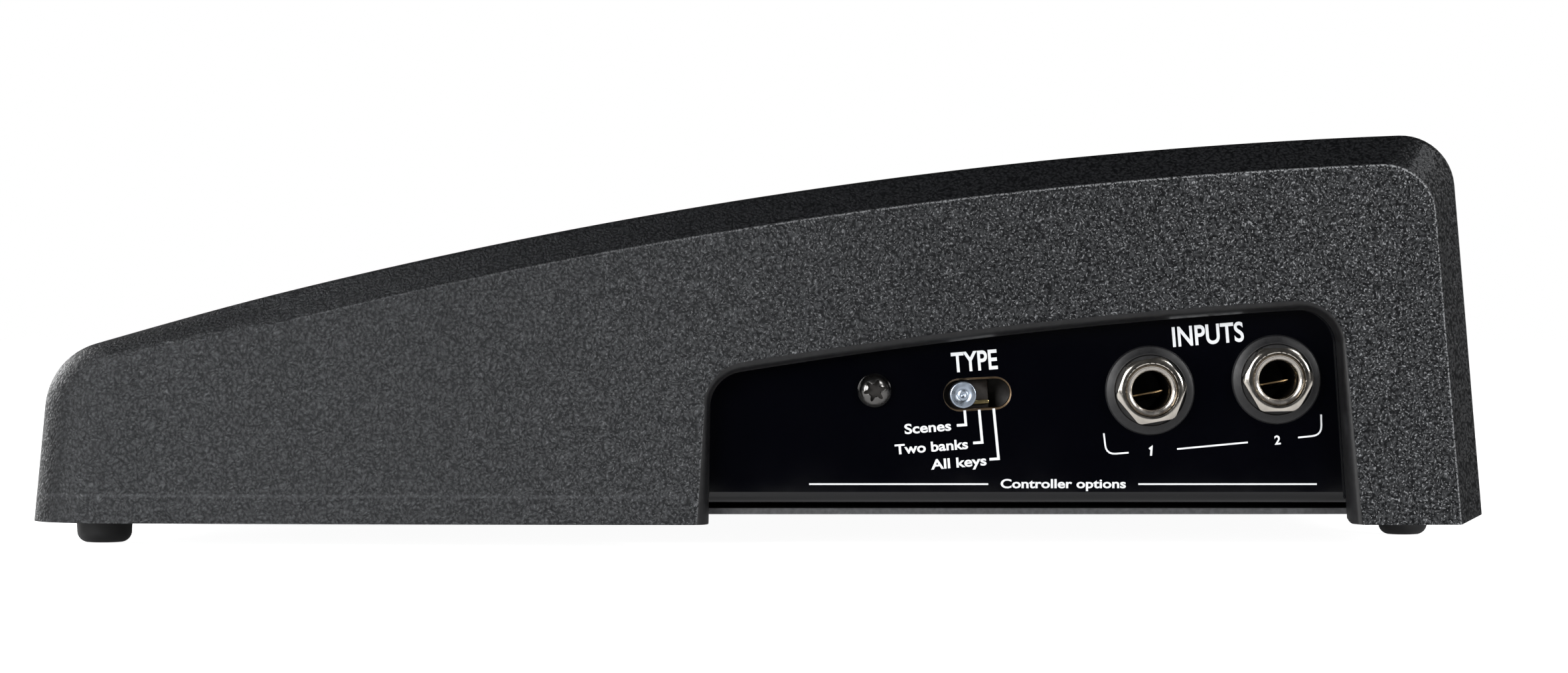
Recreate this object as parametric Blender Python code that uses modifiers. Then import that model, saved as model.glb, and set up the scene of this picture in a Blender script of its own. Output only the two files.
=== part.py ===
"""Floor foot controller for a guitar amplifier.

Two moulded end cheeks carry a folded steel chassis with footswitches, a display window and rear
sockets. A glossy connector panel with two control jacks and a three-way mode switch sits in a recess
of the right cheek.

Metres, +Z up. The origin is on the floor under the middle of the controller.
+X is the player's right and +Y points away from the player.
"""
import math

import bmesh
import bpy
from mathutils import Matrix, Vector

NAME = "foot_controller"

# ---- overall form ------------------------------------------------------------------------------
WIDTH = 0.400
DEPTH = 0.2417
FLOOR_GAP = 0.0042                       # floor to the cheeks' bottom edge
FRONT_DRAFT = math.radians(5.5)
REAR_DRAFT = math.radians(4.8)
RIM_RADIUS = 0.9353                      # side-view arc of the cheeks' top edge
RIM_CENTRE = (0.1437, FLOOR_GAP - 0.8704)
FIT_GAP = 0.0003                         # clearance between pieces that touch

# ---- cheeks ------------------------------------------------------------------------------------
CHEEK_INNER_X = 0.173
CHEEK_WALL = 0.003
FRONT_BOW = 0.008                        # how far the outer face draws in at the front
FRONT_BOW_START = 0.0102
REAR_BOW = 0.0015
REAR_BOW_START = 0.0596
RIM_CORNERS = (0.012, 0.0089)            # front and rear corner radii of the rim
FACE_CORNERS = (0.007, 0.0086)           # and of the outer face's edge
REAR_BOTTOM_RISE = 0.0015                # the rear wall ends a little above the outer face
BEVEL_ROOF = 0.005                       # bevel height along the roof
BEVEL_REAR = 0.0045
BEVEL_DEPTH = 0.006                      # bevel depth across the cheek
ROUND_FRONT = 0.0125                     # the bevel grows into a round front corner
ROUND_DEPTH = 0.0115
ROUND_START = -0.112
ROUND_END = -0.078
BAND_STEPS = 4
CORNER_STEPS = 5
ROOF_STEPS = 14
INNER_WALL_DROP = 0.015                  # rim to the lower edge of the cheek's inner wall
INNER_WALL_THICK = 0.0028
HOLLOW_EDGE_EXTRA = (0.0022, 0.0025, 0.0025)   # the hollow's edge stands in from the outer face's edge
HOLLOW_EDGE_CORNERS = (0.005, 0.006)
HOLLOW_LOW_CORNERS = (0.004, 0.004)
HOLLOW_BAND_TRIM = 0.0018
CUT_MARGIN = 0.006                       # how far a cutter reaches past what it cuts
DRILL_REACH = 0.010                      # the same for drilled holes

# ---- recess in the right cheek and the panel behind it -----------------------------------------
ARCH_FRONT_Y = -0.0078
ARCH_REAR_Y = 0.0987
ARCH_REAR_LEAN = math.radians(4.6)
ARCH_INSET = 0.02645                     # rim arc to the recess's arc
ARCH_CORNER = 0.0065
ARCH_WALL = 0.0025
ARCH_STEPS = 8
PANEL_X = 0.1935                         # outer surface of the side panel
PANEL_THICK = 0.0012
PANEL_LAP = 0.0035                       # how far the panel reaches behind the recess's wall
PANEL_BEND = 0.0018
PANEL_BOTTOM = FLOOR_GAP + 0.0034
PANEL_FLANGE = 0.0055
PANEL_EDGE_GAP = 0.0002                  # the panel's outline stays just inside its overlap

# ---- folded chassis and base plate -------------------------------------------------------------
CHASSIS_HALF = CHEEK_INNER_X - FIT_GAP
CHASSIS_THICK = 0.0015
CHASSIS_SINK = 0.012                     # rim to the top panel
CHASSIS_FRONT_INSET = 0.003
CHASSIS_REAR_INSET = 0.0045
CHASSIS_CORNER = 0.005
BASE_BOTTOM = FLOOR_GAP + 0.0014
BASE_THICK = 0.001
BASE_EDGE = 0.0093                       # outer face to the base plate's side edge
BASE_CHEEK_INSET = 0.0064                # the plate clears the cheeks' front and rear walls
BASE_FRONT_INSET = 0.0032                # and reaches under the chassis's
BASE_REAR_INSET = 0.0012
BASE_CORNER = 0.0100
BASE_SIDE_STEPS = 8

# ---- parts on the side panel, as (y, z) --------------------------------------------------------
PANEL_SCREW = (0.0201, FLOOR_GAP + 0.0220)
MODE_SLOT = (0.0371, FLOOR_GAP + 0.0214)
MODE_TILT = math.radians(3.0)
MODE_SLOT_LENGTH = 0.0113
MODE_SLOT_WIDTH = 0.0055
MODE_STEP = 0.0024                       # distance between the switch's three positions
MODE_PIN_RADIUS = 0.0022
MODE_PIN_TOP = 0.0016                    # pin's height over the panel
MODE_PIN_EDGE = 0.0003
BRACKET_SIZE = (0.0015, 0.0320, 0.0170)
BRACKET_SHIFT = -0.006                   # the bracket reaches forward to the panel screw
MODE_BODY = (0.0200, 0.0100, 0.0090)
MODE_POCKET = (0.0145, 0.0068, 0.0120)   # half of its depth is in the switch body
CARRIAGE_SIZE = (0.0088, 0.0060)
CARRIAGE_FRONT = 0.0010                  # depths under the switch body's front
CARRIAGE_BACK = 0.0055
SCREW_HOLE = 0.0018
PANEL_SCREW_PROFILE = ((0.0, 0.0021), (0.0012, 0.0020), (0.0021, 0.0016), (0.0027, 0.0009), (0.0028, FIT_GAP),
                       (0.0014, FIT_GAP), (0.0014, -0.0070), (0.0, -0.0070))
CONTROL_JACKS = ((0.0656, FLOOR_GAP + 0.0220), (0.0865, FLOOR_GAP + 0.0238))

# ---- jack hardware -----------------------------------------------------------------------------
JACK_BORE_RADIUS = 0.00325
JACK_BUSHING_RADIUS = 0.0043
JACK_HOLE_RADIUS = 0.0047
JACK_PROUD = 0.0040                      # bushing's height over the panel
JACK_BODY = (0.0150, 0.0150, 0.0220)
JACK_END_WALL = 0.001
WASHER_RADIUS = 0.0074
WASHER_THICK = 0.0010
WASHER_EDGE = 0.0002
NUT_ACROSS = 0.0110
NUT_HEIGHT = 0.0030
NUT_CROWN_DROP = 0.0007                  # the hexagon's corners are turned down by this

# ---- footswitches ------------------------------------------------------------------------------
SWITCH_PITCH = 0.068
FRONT_ROW_Y = -0.070
REAR_ROW_Y = 0.040
SWITCH_PLACES = tuple((column * SWITCH_PITCH, FRONT_ROW_Y) for column in (-2, -1, 0, 1, 2)) + (
    (-2 * SWITCH_PITCH, REAR_ROW_Y), (2 * SWITCH_PITCH, REAR_ROW_Y))
SWITCH_TRAVEL = 0.0022
BUSHING_RADIUS = 0.0060
BUSHING_PROUD = 0.0036
SWITCH_BORE = 0.0045
SWITCH_CAN_RADIUS = 0.0090
SWITCH_CAN_DEPTH = 0.0160
BUTTON_RADIUS = 0.0058
BUTTON_TOP = 0.0105
BUTTON_CROWN = ((0.0, 0.0), (0.0030, 0.0002), (0.0048, 0.0007), (BUTTON_RADIUS, 0.0017))   # (radius, drop)
LED_OFFSET = 0.020                       # switch to its lamp, along the roof
LED_RADIUS = 0.0025
SWITCH_NUT_ACROSS = 0.0145
SWITCH_NUT_TOP = 0.0025
STEM_BOTTOM = -0.0060
STEM_ROOM = 0.0006                       # left under a button's stem when it is pressed
BUTTON_ROOM = 0.0004                     # left under a button's rim when it is pressed
LAMP_PROFILE = ((0.0, 0.0020), (0.0011, 0.0017), (0.0020, 0.0010), (LED_RADIUS, 0.0), (LED_RADIUS, -0.0060),
                (0.0, -0.0060))

# ---- display -----------------------------------------------------------------------------------
DISPLAY_Y = 0.040
DISPLAY_SIZE = (0.084, 0.034)
DISPLAY_THICK = 0.0022
DISPLAY_PROUD = 0.0004
MODULE_GROWTH = (-0.004, 0.008)          # the module against the window, in width and height
MODULE_DEPTH = 0.007

# ---- rear sockets, as (x, height) --------------------------------------------------------------
LINK_JACK = (-0.040, FLOOR_GAP + 0.024)
DATA_SOCKET = (-0.075, FLOOR_GAP + 0.024)
DATA_RADIUS = 0.0078
DATA_RECESS_RADIUS = 0.0068
DATA_CORE_RADIUS = 0.0050
DATA_CORE_TOP = -0.0010
DATA_RECESS_DEPTH = 0.0080
DATA_FLANGE = (0.0020, 0.0012)           # width and height of the socket's flange
DATA_DEPTH = 0.0140

# ---- base hardware -----------------------------------------------------------------------------
FRONT_FOOT = (0.169, -0.1110)
REAR_FOOT = (0.140, 0.1151)
FRONT_FOOT_RADIUS = 0.0048
REAR_FOOT_RADIUS = 0.0044
FOOT_EDGE = 0.0018
FOOT_TOE = (0.0005, 0.0006)              # the first step of the foot's round lower edge
BOSS_PLACES = ((0.184, -0.060), (0.184, 0.1051))
BOSS_TOP = FLOOR_GAP + 0.0660            # cut back to the inside of the cheek's skin
BOSS_TRIM_INSETS = (0.002, 0.002, 0.002)
BOSS_TRIM_CORNERS = (0.010, 0.008)
PILOT_TOP = FLOOR_GAP + 0.020
BOSS_RADIUS = 0.0040
BOSS_HOLE = 0.0018
BASE_SCREW_RADIUS = 0.0014
BASE_SCREW_LENGTH = 0.0130
BASE_SCREW_HEAD = ((0.0029, 0.0), (0.0027, 0.0008), (0.0015, 0.0017), (0.0, 0.0018))   # (radius, drop)
BOARD_SIZE = (0.150, 0.062, 0.0016)
BOARD_PLACE = (0.000, 0.030)
STANDOFF_HEIGHT = 0.006
STANDOFF_RADIUS = 0.003
STANDOFF_INSET = 0.006                   # board edge to the middle of a standoff
CHIPS = ((-0.040, 0.030, 0.014), (0.010, 0.038, 0.020), (0.045, 0.024, 0.010))   # (x, y, length)
CHIP_SIZE = (0.010, 0.004)
CHIP_SINK = 0.001

ROUND_STEPS = 24
SMALL_STEPS = 12
TURNED_STEPS = 20

MATERIALS = {
    "cheek_plastic": ((0.045, 0.046, 0.049), 0.55, 0.0),
    "panel_gloss": ((0.006, 0.006, 0.007), 0.08, 0.0),
    "chassis_paint": ((0.030, 0.031, 0.034), 0.42, 0.0),
    "base_steel": ((0.080, 0.082, 0.086), 0.45, 0.6),
    "black_plastic": ((0.015, 0.015, 0.016), 0.45, 0.0),
    "nickel": ((0.72, 0.68, 0.63), 0.15, 1.0),
    "dark_nickel": ((0.20, 0.20, 0.21), 0.30, 1.0),
    "zinc": ((0.62, 0.68, 0.76), 0.30, 1.0),
    "bracket_steel": ((0.30, 0.24, 0.18), 0.40, 0.9),
    "rubber": ((0.020, 0.020, 0.021), 0.80, 0.0),
    "lamp_red": ((0.45, 0.02, 0.02), 0.20, 0.0),
    "smoked_window": ((0.020, 0.006, 0.006), 0.08, 0.0),
    "board_green": ((0.02, 0.14, 0.06), 0.45, 0.0),
}


# ---- scene helpers -----------------------------------------------------------------------------
def clear_scene():
    for item in list(bpy.data.objects):
        bpy.data.objects.remove(item, do_unlink=True)


def make_collection(name):
    group = bpy.data.collections.new(name)
    bpy.context.scene.collection.children.link(group)
    return group


def make_material(name):
    colour, roughness, metallic = MATERIALS[name]
    material = bpy.data.materials.new(name)
    material.use_nodes = True
    shader = material.node_tree.nodes["Principled BSDF"]
    shader.inputs["Base Color"].default_value = (*colour, 1.0)
    shader.inputs["Roughness"].default_value = roughness
    shader.inputs["Metallic"].default_value = metallic
    return material


class Workshop:
    """The collections, the materials and the ways a mesh becomes a part or a cutter."""

    def __init__(self):
        self.parts = make_collection(NAME)
        self.cutters = make_collection(NAME + "_cutters")
        self.materials = {name: make_material(name) for name in MATERIALS}

    def part(self, name, mesh, material, parent=None):
        item = bpy.data.objects.new(name, mesh)
        self.parts.objects.link(item)
        if not mesh.materials:
            mesh.materials.append(self.materials[material])
        item.parent = parent
        return item

    def cutter(self, name, mesh, matrix=None):
        item = bpy.data.objects.new(name, mesh)
        self.cutters.objects.link(item)
        item.display_type = "WIRE"
        item.hide_render = True
        item.matrix_world = matrix or Matrix()
        return item

    def mount(self, name, matrix):
        """An empty that places the pieces of one fitting."""
        item = bpy.data.objects.new(name, None)
        self.parts.objects.link(item)
        item.empty_display_size = 0.01
        item.matrix_world = matrix
        return item

    def bake(self, item):
        """The item's evaluated mesh as plain data; the item itself is removed."""
        bpy.context.view_layer.update()
        evaluated = item.evaluated_get(bpy.context.evaluated_depsgraph_get())
        mesh = bpy.data.meshes.new_from_object(evaluated)
        mesh.name = item.name
        bpy.data.objects.remove(item, do_unlink=True)
        return mesh


def boolean(item, cutter, operation="DIFFERENCE"):
    modifier = item.modifiers.new(cutter.name, "BOOLEAN")
    modifier.operation = operation
    modifier.solver = "EXACT"
    modifier.object = cutter


def finish_mesh(name, bm, sharp_angle=None):
    bmesh.ops.recalc_face_normals(bm, faces=bm.faces)
    mesh = bpy.data.meshes.new(name)
    bm.to_mesh(mesh)
    bm.free()
    if sharp_angle:
        mesh.shade_smooth()
        mesh.set_sharp_from_angle(angle=sharp_angle)
    return mesh


# ---- shape helpers -----------------------------------------------------------------------------
def box_mesh(name, size, centre=(0.0, 0.0, 0.0)):
    bm = bmesh.new()
    bmesh.ops.create_cube(bm, size=1.0, matrix=Matrix.Translation(centre) @ Matrix.Diagonal((*size, 1.0)))
    return finish_mesh(name, bm)


def cylinder_mesh(name, places, radius, low, high, steps=ROUND_STEPS):
    """Upright cylinders from z = low to z = high, one at each (x, y) place."""
    bm = bmesh.new()
    for x, y in places:
        middle = Matrix.Translation((x, y, (low + high) / 2))
        bmesh.ops.create_cone(bm, cap_ends=True, segments=steps, radius1=radius, radius2=radius,
                              depth=high - low, matrix=middle)
    return finish_mesh(name, bm)


def turned_object(shop, name, profile, closed=False, steps=ROUND_STEPS):
    """A round piece about its own Z axis; the (radius, z) profile runs down its outer side."""
    count = len(profile)
    edges = [(i, i + 1) for i in range(count - 1)]
    if closed:
        edges.append((count - 1, 0))
    mesh = bpy.data.meshes.new(name)
    mesh.from_pydata([(radius, 0.0, z) for radius, z in profile], edges, [])
    item = shop.cutter(name, mesh)
    screw = item.modifiers.new("turn", "SCREW")
    screw.axis = "Z"
    screw.steps = steps
    screw.render_steps = steps
    screw.use_merge_vertices = True
    screw.merge_threshold = 0.00001
    screw.use_smooth_shade = False
    return item


def turned_mesh(shop, name, profile, closed=False, steps=ROUND_STEPS):
    mesh = shop.bake(turned_object(shop, name, profile, closed, steps))
    mesh.shade_smooth()
    mesh.set_sharp_from_angle(angle=math.radians(35))
    return mesh


def prism_mesh(name, outline, low_x, high_x):
    """A flat (y, z) outline made solid from low_x to high_x."""
    bm = bmesh.new()
    ring = [bm.verts.new((low_x, y, z)) for y, z in outline]
    face = bm.faces.new(ring)
    moved = bmesh.ops.extrude_face_region(bm, geom=[face])["geom"]
    bmesh.ops.translate(bm, vec=(high_x - low_x, 0.0, 0.0),
                        verts=[item for item in moved if isinstance(item, bmesh.types.BMVert)])
    return finish_mesh(name, bm)


def slot_outline(centre, tilt, length, width, steps=6):
    """(y, z) outline of a round-ended slot."""
    radius = width / 2
    run = length / 2 - radius
    points = []
    for end, start in ((1, -math.pi / 2), (-1, math.pi / 2)):
        for step in range(steps + 1):
            angle = start + math.pi * step / steps
            points.append((end * run + radius * math.cos(angle), radius * math.sin(angle)))
    cos_tilt, sin_tilt = math.cos(tilt), math.sin(tilt)
    return [(centre[0] + y * cos_tilt - z * sin_tilt, centre[1] + y * sin_tilt + z * cos_tilt)
            for y, z in points]


def smooth_step(low, high, value):
    t = min(1.0, max(0.0, (value - low) / (high - low)))
    return t * t * (3.0 - 2.0 * t)


# ---- the side view -----------------------------------------------------------------------------
def arc_points(centre, radius, start, end, steps):
    return [centre + radius * Vector((math.cos(start + (end - start) * i / steps),
                                      math.sin(start + (end - start) * i / steps)))
            for i in range(steps + 1)]


def leaning_wall(facing, inset, roof_radius, corner, bottom):
    """A wall's foot, the centre of its round top corner, and that corner's two end angles.

    facing is +1 for the front wall, whose inside is towards +Y, and -1 for the rear wall.
    """
    draft = FRONT_DRAFT if facing > 0 else REAR_DRAFT
    along = Vector((facing * math.sin(draft), math.cos(draft)))
    inward = Vector((facing * math.cos(draft), -math.sin(draft)))
    start = Vector((-facing * DEPTH / 2, FLOOR_GAP)) + inset * inward
    foot = start + along * ((bottom - start.y) / along.y)
    centre = Vector(RIM_CENTRE)
    away = start + corner * inward - centre
    reach = roof_radius - corner
    lean = away.dot(along)
    climb = -lean + math.sqrt(lean * lean - away.length_squared + reach * reach)
    middle = away + climb * along
    return foot, centre + middle, math.atan2(-inward.y, -inward.x), math.atan2(middle.y, middle.x)


def side_outline(insets, corners, bottoms):
    """(y, z) points up the front wall, over the roof arc and down the rear wall.

    insets are measured inward from the cheeks' outline at the front, the roof and the rear.
    """
    front_inset, roof_inset, rear_inset = insets
    roof_radius = RIM_RADIUS - roof_inset
    front_foot, front_middle, front_wall, front_roof = leaning_wall(
        1, front_inset, roof_radius, corners[0], bottoms[0])
    rear_foot, rear_middle, rear_wall, rear_roof = leaning_wall(
        -1, rear_inset, roof_radius, corners[1], bottoms[1])
    front_arc = arc_points(front_middle, corners[0], front_wall, front_roof, CORNER_STEPS)
    roof_arc = arc_points(Vector(RIM_CENTRE), roof_radius, front_roof, rear_roof, ROOF_STEPS)
    rear_arc = arc_points(rear_middle, corners[1], rear_roof, rear_wall, CORNER_STEPS)
    return [front_foot, *front_arc, *roof_arc[1:-1], *rear_arc, rear_foot]


def roof_matrix(x, y, inset=CHASSIS_SINK):
    """Place on the roof whose Z axis is the roof's outward normal."""
    radius = RIM_RADIUS - inset
    angle = math.asin((y - RIM_CENTRE[0]) / radius)
    place = Vector((x, y, RIM_CENTRE[1] + radius * math.cos(angle)))
    return Matrix.Translation(place) @ Matrix.Rotation(-angle, 4, "X")


def rear_matrix(x, z):
    """Place on the chassis's rear wall whose Z axis points out of the wall."""
    inward = Vector((-math.cos(REAR_DRAFT), -math.sin(REAR_DRAFT)))
    start = Vector((DEPTH / 2, FLOOR_GAP)) + CHASSIS_REAR_INSET * inward
    y = start.x - (z - start.y) * math.tan(REAR_DRAFT)
    return Matrix.Translation((x, y, z)) @ Matrix.Rotation(REAR_DRAFT - math.pi / 2, 4, "X")


def panel_matrix(place, tilt=0.0):
    """Place on the side panel whose Z axis points out (+X) and whose X axis runs along +Y."""
    y, z = place
    turn = Matrix(((0, 0, 1, 0), (1, 0, 0, 0), (0, 1, 0, 0), (0, 0, 0, 1)))
    return Matrix.Translation((PANEL_X, y, z)) @ turn @ Matrix.Rotation(tilt, 4, "Z")


# ---- cheeks ------------------------------------------------------------------------------------
def face_bow(y):
    """How far the outer face draws in at y."""
    front = max(0.0, (FRONT_BOW_START - y) / (FRONT_BOW_START + DEPTH / 2))
    rear = max(0.0, (y - REAR_BOW_START) / (DEPTH / 2 - REAR_BOW_START))
    return FRONT_BOW * front ** 2 + REAR_BOW * rear ** 2


def band_rings(edge, rim, face_x, extra_depth):
    """Rings from the outer face's edge to the rim: a flat bevel that turns into a round front corner."""
    rings = []
    for step in range(BAND_STEPS + 1):
        s = step / BAND_STEPS
        ring = []
        for edge_point, rim_point in zip(edge, rim):
            round_share = 1.0 - smooth_step(ROUND_START, ROUND_END, rim_point.x)
            depth = BEVEL_DEPTH + (ROUND_DEPTH - BEVEL_DEPTH) * round_share + extra_depth
            across = (1 - round_share) * s + round_share * (1 - math.cos(s * math.pi / 2))
            outward = (1 - round_share) * s + round_share * math.sin(s * math.pi / 2)
            place = edge_point.lerp(rim_point, outward)
            ring.append((face_x - depth * across, place.x, place.y))
        rings.append(ring)
    return rings


def ring_solid(name, rings, bow_from):
    """A closed solid through the rings; its outer face is sliced so that it can bow."""
    bm = bmesh.new()
    loops = [[bm.verts.new(point) for point in ring] for ring in rings]
    count = len(rings[0])
    for near, far in zip(loops, loops[1:]):
        for i in range(count):
            j = (i + 1) % count
            bm.faces.new((near[i], near[j], far[j], far[i]))
    bm.faces.new(loops[0])
    bm.faces.new(loops[-1])
    for point in rings[0][CORNER_STEPS:-CORNER_STEPS]:
        bmesh.ops.bisect_plane(bm, geom=bm.verts[:] + bm.edges[:] + bm.faces[:], dist=0.00001,
                               plane_co=(0, point[1], 0), plane_no=(0, 1, 0))
    for vert in bm.verts:
        if vert.co.x > bow_from:
            vert.co.x -= face_bow(vert.co.y)
    bmesh.ops.triangulate(bm, faces=[face for face in bm.faces if len(face.verts) > 4])
    return finish_mesh(name, bm)


def cheek_outside():
    bottom = FLOOR_GAP
    edge = side_outline((ROUND_FRONT, BEVEL_ROOF, BEVEL_REAR), FACE_CORNERS, (bottom, bottom))
    rim = side_outline((0, 0, 0), RIM_CORNERS, (bottom, bottom + REAR_BOTTOM_RISE))
    rings = band_rings(edge, rim, WIDTH / 2, 0.0)
    rings.append([(CHEEK_INNER_X, point.x, point.y) for point in rim])
    return ring_solid("cheek_outside", rings, CHEEK_INNER_X + 0.001)


def cheek_cavity():
    bottom = FLOOR_GAP - CUT_MARGIN
    wall = CHEEK_WALL
    insets = [inset + extra for inset, extra in zip((ROUND_FRONT, BEVEL_ROOF, BEVEL_REAR), HOLLOW_EDGE_EXTRA)]
    edge = side_outline(insets, HOLLOW_EDGE_CORNERS, (bottom, bottom))
    rim = side_outline((wall, wall, wall), [corner - wall for corner in RIM_CORNERS], (bottom, bottom))
    low = side_outline((2 * wall, INNER_WALL_DROP, 2 * wall), HOLLOW_LOW_CORNERS, (bottom, bottom))
    rings = band_rings(edge, rim, WIDTH / 2 - wall, -HOLLOW_BAND_TRIM)
    inner_wall_x = CHEEK_INNER_X + INNER_WALL_THICK
    rings.append([(inner_wall_x, point.x, point.y) for point in rim])
    rings.append([(inner_wall_x, point.x, point.y) for point in low])
    rings.append([(CHEEK_INNER_X - CUT_MARGIN, point.x, point.y) for point in low])
    return ring_solid("cheek_cavity", rings, inner_wall_x + 0.001)


def arch_outline(grow, bottom):
    """(y, z) outline of the side recess, grown outward by grow and open downward to bottom."""
    radius = RIM_RADIUS - ARCH_INSET + grow
    corner = ARCH_CORNER + grow
    centre = Vector(RIM_CENTRE)
    front_y = ARCH_FRONT_Y - grow
    reach = radius - corner
    front_middle = Vector((front_y + corner, centre.y + math.sqrt(
        reach ** 2 - (front_y + corner - centre.x) ** 2)))
    lean = math.tan(ARCH_REAR_LEAN)
    rear_foot = ARCH_REAR_Y + grow
    rear_middle = Vector((rear_foot - corner, 0.0))
    for _ in range(4):
        rear_middle.y = centre.y + math.sqrt(reach ** 2 - (rear_middle.x - centre.x) ** 2)
        rear_middle.x = rear_foot - (rear_middle.y - FLOOR_GAP) * lean - corner / math.cos(ARCH_REAR_LEAN)
    to_front = front_middle - centre
    to_rear = rear_middle - centre
    front_angle = math.atan2(to_front.y, to_front.x)
    rear_angle = math.atan2(to_rear.y, to_rear.x)
    return [Vector((front_y, bottom)),
            *arc_points(front_middle, corner, math.pi, front_angle, CORNER_STEPS),
            *arc_points(centre, radius, front_angle, rear_angle, ARCH_STEPS)[1:-1],
            *arc_points(rear_middle, corner, rear_angle, ARCH_REAR_LEAN, CORNER_STEPS),
            Vector((rear_foot + (FLOOR_GAP - bottom) * lean, bottom))]


def mirrored(mesh, name):
    copy = mesh.copy()
    copy.name = name
    copy.transform(Matrix.Diagonal((-1, 1, 1, 1)))
    copy.flip_normals()
    return copy


def build_cheeks(shop):
    outside = cheek_outside()
    cavity = cheek_cavity()
    bosses = cylinder_mesh("cheek_bosses", BOSS_PLACES, BOSS_RADIUS, BASE_BOTTOM + BASE_THICK + FIT_GAP,
                           BOSS_TOP, TURNED_STEPS)
    trim_bosses = prism_mesh("boss_trim", side_outline(BOSS_TRIM_INSETS, BOSS_TRIM_CORNERS, (FLOOR_GAP, FLOOR_GAP)),
                             CHEEK_INNER_X, WIDTH / 2)
    pilots = cylinder_mesh("cheek_pilots", BOSS_PLACES, BOSS_HOLE, 0.0, PILOT_TOP, SMALL_STEPS)
    for side, tag in ((1, "right"), (-1, "left")):
        meshes = (outside, cavity, bosses, trim_bosses, pilots)
        if side < 0:
            meshes = tuple(mirrored(mesh, mesh.name + "_left") for mesh in meshes)
        cheek = shop.part("cheek_" + tag, meshes[0], "cheek_plastic")
        hollow = shop.cutter("hollow_" + tag, meshes[1])
        boolean(cheek, hollow)
        if side > 0:
            ring = prism_mesh("recess_ring", arch_outline(ARCH_WALL, FLOOR_GAP - 2 * CUT_MARGIN),
                              PANEL_X + FIT_GAP, WIDTH / 2 + CUT_MARGIN)
            boolean(hollow, shop.cutter("recess_ring", ring))
            hole = prism_mesh("recess_hole", arch_outline(0.0, FLOOR_GAP - 2 * CUT_MARGIN),
                              PANEL_X - CUT_MARGIN, WIDTH / 2 + CUT_MARGIN)
            boolean(cheek, shop.cutter("recess_hole", hole))
        boss = shop.cutter("bosses_" + tag, meshes[2])
        boolean(boss, shop.cutter("boss_trim_" + tag, meshes[3]), "INTERSECT")
        boolean(cheek, boss, "UNION")
        boolean(cheek, shop.cutter("pilots_" + tag, meshes[4]))


# ---- chassis, base plate and side panel --------------------------------------------------------
def build_chassis(shop):
    bottom = BASE_BOTTOM + BASE_THICK + FIT_GAP
    outline = side_outline((CHASSIS_FRONT_INSET, CHASSIS_SINK, CHASSIS_REAR_INSET),
                           (CHASSIS_CORNER, CHASSIS_CORNER), (bottom, bottom))
    bm = bmesh.new()
    rows = [[bm.verts.new((x, point.x, point.y)) for x in (-CHASSIS_HALF, CHASSIS_HALF)] for point in outline]
    for low, high in zip(rows, rows[1:]):
        bm.faces.new((low[0], low[1], high[1], high[0]))
    mesh = bpy.data.meshes.new("chassis")
    bm.to_mesh(mesh)
    bm.free()
    chassis = shop.part("chassis", mesh, "chassis_paint")
    sheet = chassis.modifiers.new("sheet", "SOLIDIFY")
    sheet.thickness = CHASSIS_THICK
    sheet.offset = -1.0
    sheet.use_even_offset = True
    for index, (x, y) in enumerate(SWITCH_PLACES, 1):
        hole = cylinder_mesh("switch_hole", [(0, 0)], BUSHING_RADIUS + FIT_GAP, -DRILL_REACH, DRILL_REACH)
        boolean(chassis, shop.cutter(f"switch_hole_{index}", hole, roof_matrix(x, y)))
        lamp = cylinder_mesh("lamp_hole", [(0, 0)], LED_RADIUS + FIT_GAP, -DRILL_REACH, DRILL_REACH, SMALL_STEPS)
        boolean(chassis, shop.cutter(f"lamp_hole_{index}", lamp, roof_matrix(x, y + LED_OFFSET)))
    window = box_mesh("window_hole", (DISPLAY_SIZE[0] + 2 * FIT_GAP, DISPLAY_SIZE[1] + 2 * FIT_GAP,
                                      2 * DRILL_REACH))
    boolean(chassis, shop.cutter("window_hole", window, roof_matrix(0, DISPLAY_Y)))
    for name, place, radius in (("link_hole", LINK_JACK, JACK_HOLE_RADIUS),
                                ("data_hole", DATA_SOCKET, DATA_RADIUS + FIT_GAP)):
        hole = cylinder_mesh(name, [(0, 0)], radius, -DRILL_REACH, DRILL_REACH)
        boolean(chassis, shop.cutter(name, hole, rear_matrix(*place)))


def base_outline():
    """(x, y) outline of the base plate: inside the cheeks, and out under the chassis walls between them."""
    front = BASE_CHEEK_INSET - DEPTH / 2
    rear = DEPTH / 2 - BASE_CHEEK_INSET
    side_start = front + BASE_CORNER
    side_end = rear - BASE_CORNER / 4
    side = []
    for i in range(BASE_SIDE_STEPS + 1):
        y = side_start + (side_end - side_start) * i / BASE_SIDE_STEPS
        side.append((WIDTH / 2 - face_bow(y) - BASE_EDGE, y))
    right = [(CHASSIS_HALF, BASE_FRONT_INSET - DEPTH / 2), (CHASSIS_HALF, front),
             (side[0][0] - BASE_CORNER, front), *side,
             (side[-1][0] - BASE_CORNER / 4, rear), (CHASSIS_HALF, rear),
             (CHASSIS_HALF, DEPTH / 2 - BASE_REAR_INSET)]
    return right + [(-x, y) for x, y in reversed(right)]


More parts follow.
